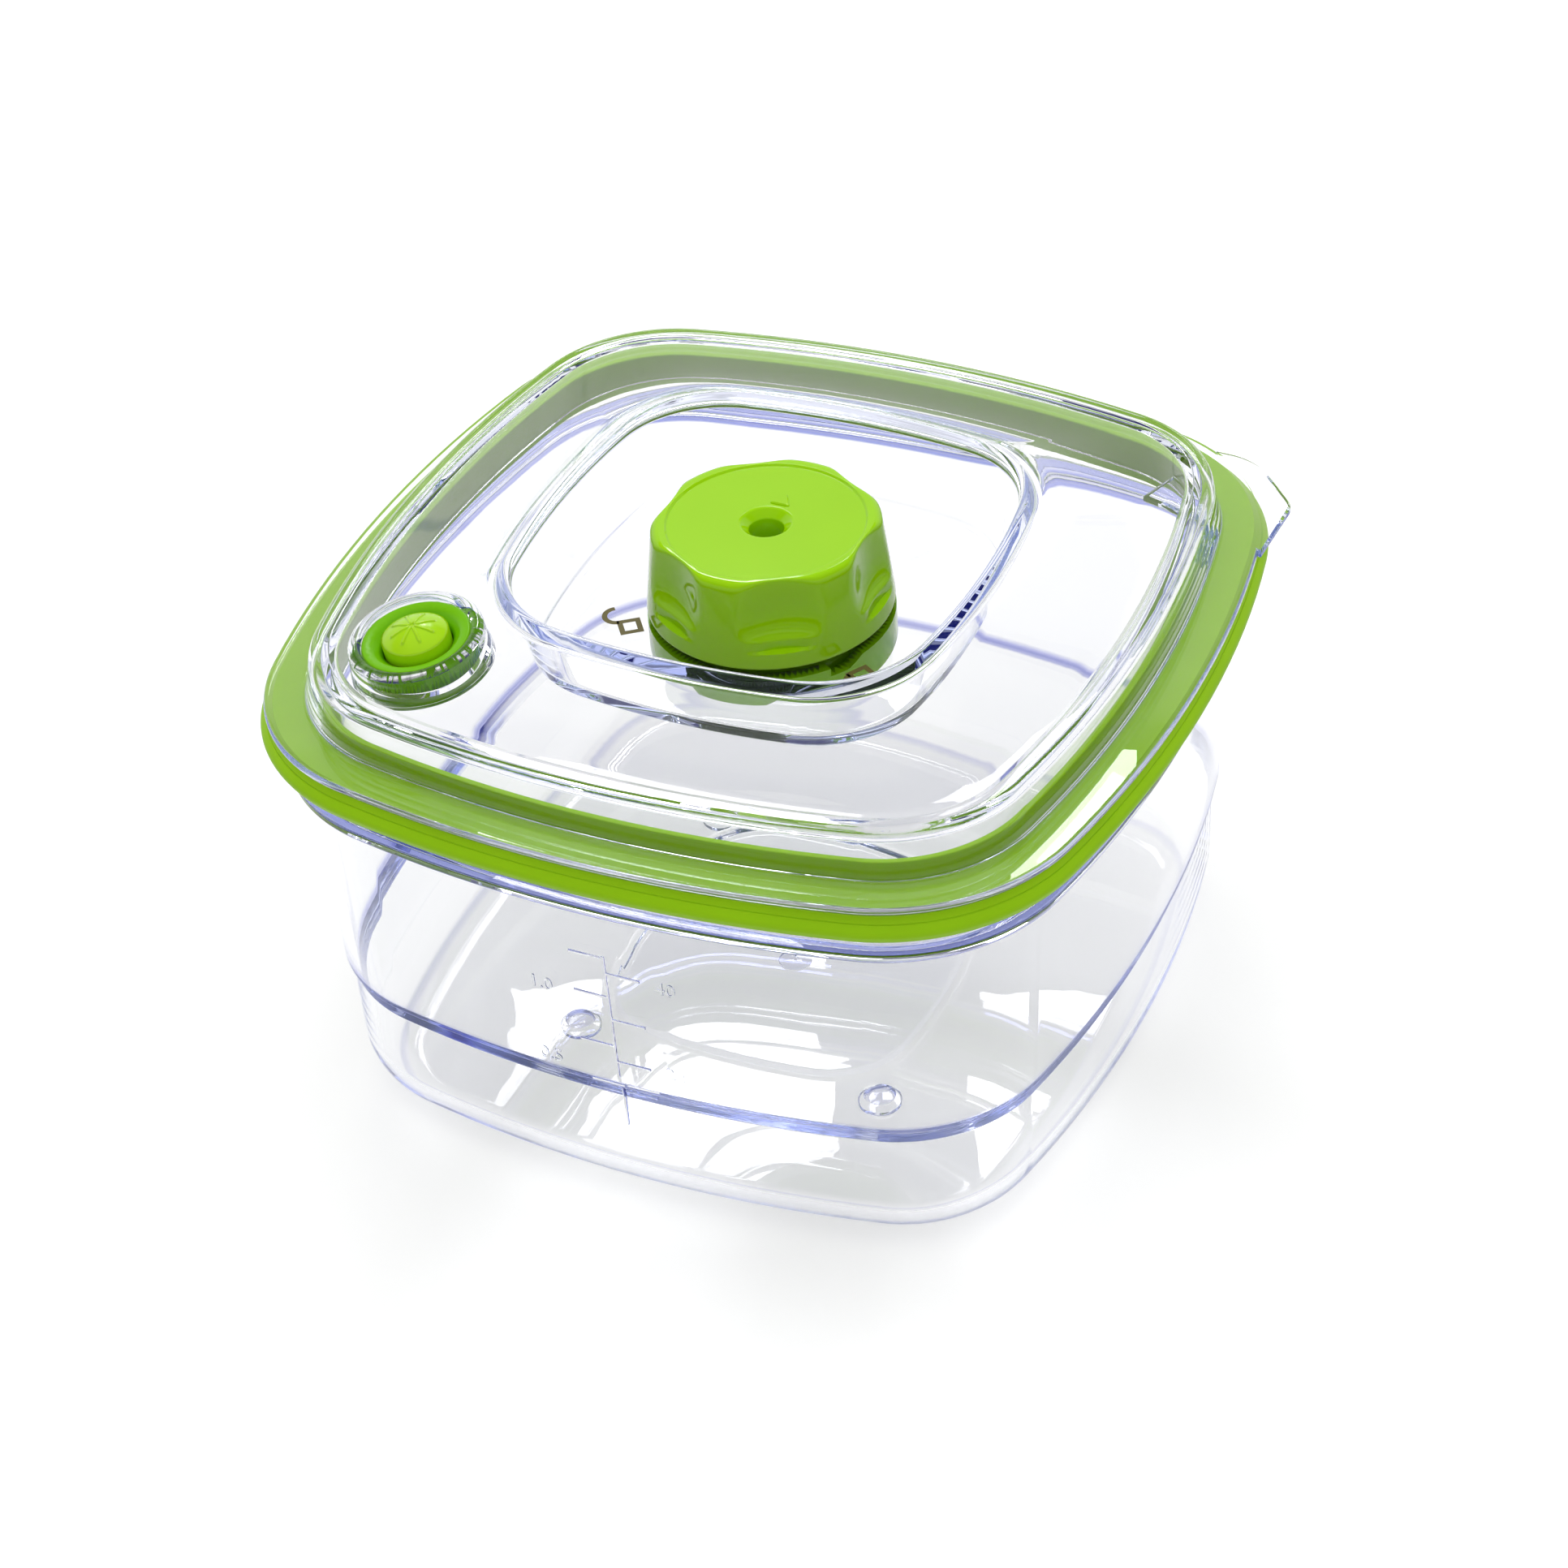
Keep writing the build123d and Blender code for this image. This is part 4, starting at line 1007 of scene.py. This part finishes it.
@dataclass
class Signs:
    """Olive open and closed padlock signs printed on the well floor."""

    line: FlangeLine
    open_place: Point = (27.6, 216.6)
    closed_place: Point = (30.2, 328.5)
    width: float = 3.5
    height: float = 3.7
    stroke: float = 1.05
    ink: float = 0.05
    lift: float = 0.01
    mitre: float = 0.5
    arc_steps: int = 18
    open_radius: float = 2.35
    open_shift: float = 0.1
    closed_inset: float = 0.3

    def ribbon(self, name: str, points: Sequence[Point], place: Matrix, closed: bool) -> bpy.types.Object:
        """A flat printed stroke along a line of points.

        Args:
            name: the stroke's name.
            points: the line's points in the sign's own plane.
            place: the sign's place and turn.
            closed: whether the line joins up.

        Returns:
            The stroke as a thin solid.
        """
        count = len(points)
        loops = []
        for index, point in enumerate(points):
            here = Vector(point)
            before = Vector(points[index - 1]) if closed or index else here
            after = Vector(points[(index + 1) % count]) if closed or index + 1 < count else here
            way = (here - before).normalized() + (after - here).normalized()
            side = Vector((-way.y, way.x)).normalized()
            onward = after - here
            square = side.dot(Vector((-onward.y, onward.x)).normalized()) if after != here else 1
            side *= self.stroke / 2 / max(square, self.mitre)
            right, left = here - side, here + side
            ring = [(right, self.lift), (left, self.lift), (left, self.ink), (right, self.ink)]
            loops.append([place @ (Vector((flat.x, flat.y, z)) * MM) for flat, z in ring])
        return new_piece(name, loops, closed=closed)

    def sign(
        self, name: str, spot: Point, middle: Point, radius: float, first: float, last: float,
    ) -> None:
        """One padlock: its body and its shackle, an arc about a middle.

        Args:
            name: the sign's name.
            spot: distance and bearing, in degrees, of its body's middle.
            middle: the shackle's middle in the sign's own plane.
            radius: the shackle's radius.
            first: angle at which the shackle starts, in degrees.
            last: angle at which it ends.
        """
        away, bearing = spot[0], math.radians(spot[1])
        spot_3d = Vector((math.cos(bearing) * away, math.sin(bearing) * away, self.line.z - Lid.well_drop))
        place = Matrix.Translation(spot_3d * MM) @ Matrix.Rotation(bearing + math.pi, 4, "Z")
        half, tall = self.width / 2, self.height / 2
        body = [(-half, -tall), (half, -tall), (half, tall), (-half, tall)]
        steps = self.arc_steps
        angles = [math.radians(first + (last - first) * step / steps) for step in range(steps + 1)]
        arc = [(middle[0] + radius * math.cos(a), middle[1] + radius * math.sin(a)) for a in angles]
        strokes = [
            self.ribbon(f"{name}_body", body, place, True), self.ribbon(f"{name}_shackle", arc, place, False),
        ]
        for piece in strokes:
            settle(piece, Body.LID, OLIVE_INK.material())

    def build(self) -> None:
        """Prints both signs."""
        half, tall, radius = self.width / 2, self.height / 2, self.open_radius
        self.sign("open_sign", self.open_place, (-half - self.open_shift, tall + radius), radius, -90, -272)
        self.sign("closed_sign", self.closed_place, (0, tall), half - self.closed_inset, 0, 180)


@dataclass
class Gasket:
    """Green silicone gasket round the lid, with a groove for the container's wall."""

    line: FlangeLine
    half: float = 87.4
    depth: float = 7.6
    seat_half: float = 84.3
    lip_z: float = -5.2
    bead: float = 1.3
    inner_half: float = 74.0
    leg_z: float = -6.8
    tongue_z: float = 2.3
    tongue_half: float = 75.2
    tongue_lean: float = 0.9
    gap: float = 0.03
    seat_z: float = -1.8
    side_groove: tuple[Point, ...] = ((85.75, -3.41), (85.77, -3.69), (86.05, -3.75))
    groove: tuple[float, float] = (77.65, 80.55)
    groove_z: float = -3.05

    def section(self) -> list[Point]:
        """The gasket's section, as half width and height above the flange."""
        under, inner = self.seat_z - self.gap, self.inner_half + self.gap
        outer_groove, inner_groove = self.groove[1], self.groove[0]
        corners = [
            (self.seat_half, under), *self.side_groove, (self.half, self.lip_z, self.bead),
            (self.half - self.bead, -self.depth, self.bead), (outer_groove, -self.depth, 0.4),
            (outer_groove, self.groove_z), (inner_groove, self.groove_z), (inner_groove, self.leg_z, 0.4),
            (inner, self.leg_z, 0.3), (inner, self.tongue_z, 0.3), (self.tongue_half, self.tongue_z, 0.25),
            (self.tongue_half + self.tongue_lean, under),
        ]
        return rounded(corners, 6)

    def build(self) -> None:
        """Sweeps the section round the flange's outline."""
        path = ring_of_points("lid_gasket_piece", self.line.outline.loop(self.line.z))
        base = self.line.outline.half
        points = [Vector((half - base, -z, 0)) * MM for half, z in self.section()]
        section = ring_of_points("gasket section", points)
        grow(path, sweep_tree(), Section=section, Material=GREEN_SILICONE.material())
        bpy.data.objects.remove(section)
        finish_mesh(path)
        settle(path, Body.LID, GREEN_SILICONE.material(), "lid_gasket")


@dataclass
class Knob:
    """Lime knob with six thumb dimples, a dished top, a nozzle hole and an arrow."""

    line: FlangeLine
    base_radius: float = 23.9
    top_radius: float = 21.9
    base_z: float = 0.1
    top_z: float = 17.9
    disc_radius: float = 18.9
    disc_depth: float = 0.4
    disc_margin: float = 0.6
    nozzle_radius: float = 3.35
    chamfer_radius: float = 5.0
    chamfer_depth: float = 1.5
    dimples: int = 6
    dimple_radius: float = 19.0
    dimple_depth: float = 1.9
    dimple_low: float = 6.0
    scoop: float = 6.0
    scoop_extra: float = 0.3
    edge: float = 2.6
    steps: int = 288
    side_rows: int = 44
    nozzle_depth: float = 7.0
    skirt_radius: float = 20.5
    roof_radius: float = 18.5
    roof_z: float = 14.7
    hollow_margin: float = 0.1
    sleeve: Point = (5.2, 7.2)
    sleeve_z: float = 4.6
    arrow_tip: float = 9.9
    arrow_base: float = 6.0
    arrow_half: float = 2.2
    arrow_middle: float = 7.4
    arrow_round: float = 0.35
    arrow_layers: tuple[Point, ...] = ((0, -0.2), (0, 0.15), (0.35, 0.38))

    def build(self) -> None:
        """Makes the knob and its arrow."""
        nozzle_low = self.top_z - self.nozzle_depth
        disc_z = self.top_z - self.disc_depth
        corners = [
            (self.nozzle_radius, nozzle_low), (self.nozzle_radius, disc_z - self.chamfer_depth, 0.5),
            (self.chamfer_radius, disc_z, 0.9), (self.disc_radius, disc_z, 0.25),
            (self.disc_radius + self.disc_depth, self.top_z, 0.25), (self.top_radius, self.top_z, 1.7),
            (self.base_radius, self.base_z, 0.5), (self.skirt_radius, self.base_z, 0.4),
            (self.roof_radius, self.roof_z), (self.sleeve[1], self.roof_z), (self.sleeve[1], self.sleeve_z),
            (self.sleeve[0], self.sleeve_z), (self.sleeve[0], nozzle_low),
        ]
        profile = rounded(corners, 8)
        rows = [(radius, z + self.line.z) for radius, z in self.outer_side(profile)]
        piece = turned("knob_piece", rows, self.steps)
        sizes = {
            "Reach": self.top_radius - self.dimple_depth + self.dimple_radius, "Radius": self.dimple_radius,
            "Base": self.line.z, "Low": self.dimple_low, "Scoop": self.scoop,
            "Scoop_depth": self.dimple_depth + self.scoop_extra, "Edge": self.edge,
            "Inner": self.disc_radius + self.disc_margin, "Hollow": self.skirt_radius + self.hollow_margin,
            "Roof": self.roof_z + self.hollow_margin,
        }
        metres = {name: size * MM for name, size in sizes.items()}
        grow(piece, dimple_tree(), Count=self.dimples, Material=LIME_GLOSS.material(), **metres)
        finish_mesh(piece, 50)
        settle(piece, Body.KNOB, LIME_GLOSS.material(), "knob")
        self.arrow(disc_z)

    def outer_side(self, profile: list[Point]) -> list[Point]:
        """The profile with extra rows down the knob's side, where the dimples are."""
        result: list[Point] = []
        for index, point in enumerate(profile):
            result.append(point)
            following = profile[(index + 1) % len(profile)]
            if abs(point[1] - following[1]) > self.top_z / 2 and point[0] > self.skirt_radius:
                for row in range(1, self.side_rows):
                    share = row / self.side_rows
                    result.append(tuple(a + share * (b - a) for a, b in zip(point, following)))
        return result

    def arrow(self, disc_z: float) -> None:
        """The raised triangle that points at the printed signs."""
        tips = ((0, self.arrow_tip), (-self.arrow_half, self.arrow_base), (self.arrow_half, self.arrow_base))
        corners = rounded([(*tip, self.arrow_round) for tip in tips], 4)
        middle, z = (0, self.arrow_middle), disc_z + self.line.z
        piece = layered("knob_arrow", corners, middle, z, self.arrow_layers)
        settle(piece, Body.KNOB, LIME_GLOSS.material())


@dataclass
class Indicator:
    """Vacuum indicator in the lid's corner: clear boss, green plug and domed button."""

    line: FlangeLine
    place: float = -49.5
    z: float = 13.2
    tilt_degrees: float = 8.2
    bearing_degrees: float = 225.0
    radius: float = 12.9
    draft: float = 0.9
    length: float = 8.5
    bore_radius: float = 12.0
    lip_radius: float = 10.6
    lip: float = 1.8
    overrun: float = 3.0

    def frame(self) -> Matrix:
        """Where the boss's top stands, in metres, with Z along the boss."""
        place = Matrix.Translation(Vector((self.place, self.place, self.line.z + self.z)) * MM)
        bearing = Matrix.Rotation(math.radians(self.bearing_degrees), 4, "Z")
        return place @ bearing @ Matrix.Rotation(math.radians(self.tilt_degrees), 4, "Y")

    def boss(self) -> bpy.types.Object:
        """The boss as a solid, joined to the lid before it is bored."""
        corners = [
            (INNER_EDGE, -self.length), (self.radius + self.draft, -self.length, 0.4), (self.radius, 0, 1.15),
            (self.lip_radius, 0, 1.1), (self.lip_radius, -self.lip), (INNER_EDGE, -self.lip),
        ]
        return turned("boss", rounded(corners, 8), place=self.frame())

    def bore(self) -> bpy.types.Object:
        """The space inside the boss."""
        low, high = -self.length - self.overrun, self.overrun
        corners = [
            (INNER_EDGE, low), (self.bore_radius, low), (self.bore_radius, -self.lip),
            (self.lip_radius, -self.lip), (self.lip_radius, high), (INNER_EDGE, high),
        ]
        return turned("bore", corners, place=self.frame())

    def build(self) -> None:
        """Dresses the plug, the retainer and the button."""
        settle(smooth_copy("indicator_seal"), Body.LID, GREEN_PLUG.material(), "indicator_seal")
        settle(smooth_copy("indicator_retainer"), Body.LID, GREEN_HOUSING.material(), "indicator_retainer")
        settle(smooth_copy("indicator_button", 40), Body.BUTTON, LIME_BUTTON.material(), "indicator_button")


class Valve:
    """Everything under the knob, dressed from the frame's own shapes."""

    FINISHES = {
        "valve_housing": (Body.LID, GREEN_HOUSING), "clamp_nut": (Body.LID, GREEN_HOUSING),
        "filter_cap": (Body.LID, GREEN_HOUSING), "housing_gasket": (Body.LID, WHITE_SEAL),
        "spring_washer": (Body.LID, SPRING_STEEL), "stem_spring": (Body.LID, SPRING_STEEL),
        "indicator_spring": (Body.LID, SPRING_STEEL), "nozzle_seal": (Body.KNOB, WHITE_SEAL),
        "valve_stem": (Body.STEM, PALE_STEM), "stem_o_ring": (Body.STEM, BLACK_RUBBER),
        "valve_disc": (Body.STEM, WHITE_SEAL), "retaining_clip": (Body.STEM, SPRING_STEEL),
        "check_valve": (Body.STEM, WHITE_SEAL),
    }

    def build(self) -> None:
        """Dresses the housing, the stem and the small parts."""
        for node, (body, finish) in self.FINISHES.items():
            settle(smooth_copy(node), body, finish.material(), node)


# Studio


def seen_ray(graph: Graph) -> bpy.types.NodeSocket:
    """One for rays that the eye follows, mirrored or through glass too, up to the first matt surface."""
    path = graph.add("ShaderNodeLightPath").outputs
    mirrored = graph.maths("MAXIMUM", path["Is Glossy Ray"], path["Is Transmission Ray"])
    seen = graph.maths("MAXIMUM", path["Is Camera Ray"], mirrored)
    return graph.maths("MULTIPLY", seen, graph.maths("LESS_THAN", path["Diffuse Depth"], 0.5))


@dataclass(frozen=True)
class Softbox:
    """A rectangular soft light that faces the canister, and which the plastic may mirror."""

    name: str
    place: tuple[float, float, float]
    width: float
    height: float
    power: float
    mirrored: bool = False
    aim: tuple[float, float, float] = (0, 0, 0.06)

    def build(self) -> None:
        """Hangs the light, with its sizes in metres and its power in watts."""
        data = bpy.data.lights.new(self.name, "AREA")
        data.shape, data.size, data.size_y, data.energy = "RECTANGLE", self.width, self.height, self.power
        light = linked(self.name, data)
        light.location = Vector(self.place)
        light.rotation_euler = (light.location - Vector(self.aim)).to_track_quat("Z", "Y").to_euler()
        light.visible_camera = False
        light.visible_glossy = light.visible_transmission = self.mirrored


@dataclass
class Studio:
    """Camera, white floor, soft lights and surroundings."""

    line: FlangeLine
    azimuth_degrees: float = 26.71
    elevation_degrees: float = 35.10
    roll_degrees: float = -4.05
    distance: float = 821.4
    focal_pixels: float = 5288.15
    image_pixels: float = 1932.0
    middle_pixels: tuple[float, float] = (950.442, 736.403)
    sensor: float = 36.0
    clip_start: float = 0.01
    backdrop_degrees: float = 37.1
    backdrop_blur: float = 0.012
    backdrop_spread: float = 0.85
    room: tuple[float, float, float] = (0.012, 0.016, 0.12)
    ceiling_degrees: float = 52.0
    ceiling: float = 0.35
    ambient: float = 0.5
    floor_glow: float = 0.35
    floor_grey: float = 0.8
    floor_half: float = 3.0
    floor_z: float = -0.0002
    bounces: int = 160
    lamps: tuple[Softbox, ...] = (
        Softbox("back softbox", (-0.4, 0.8, 1.4), 1.0, 0.7, 6.0),
        Softbox("top softbox", (0.05, -0.05, 1.3), 1.2, 1.2, 5.0),
        Softbox("front softbox", (0.55, -1.1, 0.75), 0.8, 0.8, 2.2),
        Softbox("left window", (-0.620, 1.060, 1.160), 0.200, 0.200, 2.6, True),
        Softbox("right window", (-0.385, 1.120, 1.160), 0.070, 0.200, 0.7, True),
    )

    def camera(self) -> None:
        """The camera at the photograph's viewpoint."""
        azimuth, elevation = math.radians(self.azimuth_degrees), math.radians(self.elevation_degrees)
        level = math.cos(elevation)
        back = Vector((math.sin(azimuth) * level, -math.cos(azimuth) * level, math.sin(elevation)))
        right = Vector((0, 0, 1)).cross(back).normalized()
        up = back.cross(right)
        roll = math.radians(self.roll_degrees)
        across = math.cos(roll) * right + math.sin(roll) * up
        along = -math.sin(roll) * right + math.cos(roll) * up
        off = [(middle - self.image_pixels / 2) / self.focal_pixels for middle in self.middle_pixels]
        aim = Vector((off[0], -off[1], -1)).normalized()
        swing = Vector((0, 0, -1)).rotation_difference(aim).to_matrix()
        axes = (swing @ Matrix((across, along, back))).transposed()
        data = bpy.data.cameras.new("camera")
        data.sensor_width = self.sensor
        data.lens = self.sensor * self.focal_pixels / self.image_pixels
        data.clip_start = self.clip_start
        camera = linked("camera", data)
        place = Vector((0, 0, self.line.z * MM)) + back * self.distance * MM
        camera.matrix_world = Matrix.Translation(place) @ axes.to_4x4()
        bpy.context.scene.camera = camera

    def floor(self) -> None:
        """The white table that keeps the object's shadow."""
        half, grey = self.floor_half, self.floor_grey
        mesh = bpy.data.meshes.new("floor")
        corners = [(-half, -half, 0), (half, -half, 0), (half, half, 0), (-half, half, 0)]
        mesh.from_pydata(corners, [], [(0, 1, 2, 3)])
        floor = linked("floor", mesh)
        floor.location.z = self.floor_z
        material, graph, shader = new_material("white table", {
            "Base Color": (grey, grey, grey, 1), "Roughness": 0.9, "Specular IOR Level": 0.0,
            "Emission Color": (1, 1, 1, 1),
        })
        glow = graph.maths("MULTIPLY", seen_ray(graph), self.floor_glow)
        graph.feed(shader.inputs["Emission Strength"], glow)
        floor.data.materials.append(material)

    def world(self) -> None:
        """What the plastic mirrors: a white backdrop all round, and a dark room above it."""
        world = bpy.data.worlds.new("studio")
        bpy.context.scene.world = world
        world.use_nodes = True
        world.cycles.sampling_method = "NONE"
        graph = Graph(world.node_tree)
        place = graph.add("ShaderNodeTexCoord")
        x, y, z = graph.add("ShaderNodeSeparateXYZ", {0: place.outputs["Generated"]}).outputs
        turn = math.radians(self.azimuth_degrees)
        sideways = graph.maths("MULTIPLY", x, math.sin(turn))
        ahead = graph.maths("SUBTRACT", graph.maths("MULTIPLY", y, math.cos(turn)), sideways)
        squares = [graph.maths("MULTIPLY", part, part) for part in (x, y)]
        level = graph.maths("SQRT", graph.maths("ADD", *squares))
        reach = graph.maths("MAXIMUM", ahead, graph.maths("MULTIPLY", level, self.backdrop_spread))
        slope = graph.maths("DIVIDE", z, graph.maths("MAXIMUM", reach, 0.001))
        ramp = graph.add("ShaderNodeValToRGB", {"Fac": slope})
        edge = math.tan(math.radians(self.backdrop_degrees))
        low, high = ramp.color_ramp.elements
        low.position, low.color = edge - self.backdrop_blur, (1, 1, 1, 1)
        high.position, high.color = edge + self.backdrop_blur, (*self.room, 1)
        above = graph.maths("GREATER_THAN", slope, math.tan(math.radians(self.ceiling_degrees)))
        bright = graph.add("ShaderNodeMix", {0: above, 6: ramp.outputs["Color"]}, data_type="RGBA")
        bright.inputs[7].default_value = (self.ceiling, self.ceiling, self.ceiling, 1)
        mirrored = graph.add("ShaderNodeBackground", {"Color": bright.outputs[2], "Strength": 1.0})
        lit = world.node_tree.nodes["Background"]
        lit.inputs["Color"].default_value = (1, 1, 1, 1)
        lit.inputs["Strength"].default_value = self.ambient
        sides = {0: seen_ray(graph), 1: lit.outputs[0], 2: mirrored.outputs[0]}
        choice = graph.add("ShaderNodeMixShader", sides)
        graph.feed(world.node_tree.nodes["World Output"].inputs["Surface"], choice.outputs[0])

    def build(self) -> None:
        """Sets up the whole studio."""
        scene = bpy.context.scene
        scene.view_settings.view_transform = "Standard"
        cycles = scene.cycles
        cycles.max_bounces = cycles.transmission_bounces = cycles.glossy_bounces = self.bounces
        self.camera()
        self.floor()
        self.world()
        for lamp in self.lamps:
            lamp.build()


def main() -> None:
    """Builds the canister and its studio."""
    logging.basicConfig(level=logging.INFO, format="%(name)s: %(message)s")
    line = FlangeLine()
    indicator = Indicator(line)
    Studio(line).build()
    Container(line).build()
    Lid(line).build(indicator)
    Signs(line).build()
    Gasket(line).build()
    Knob(line).build()
    indicator.build()
    Valve().build()


if __name__ == "__main__":
    main()
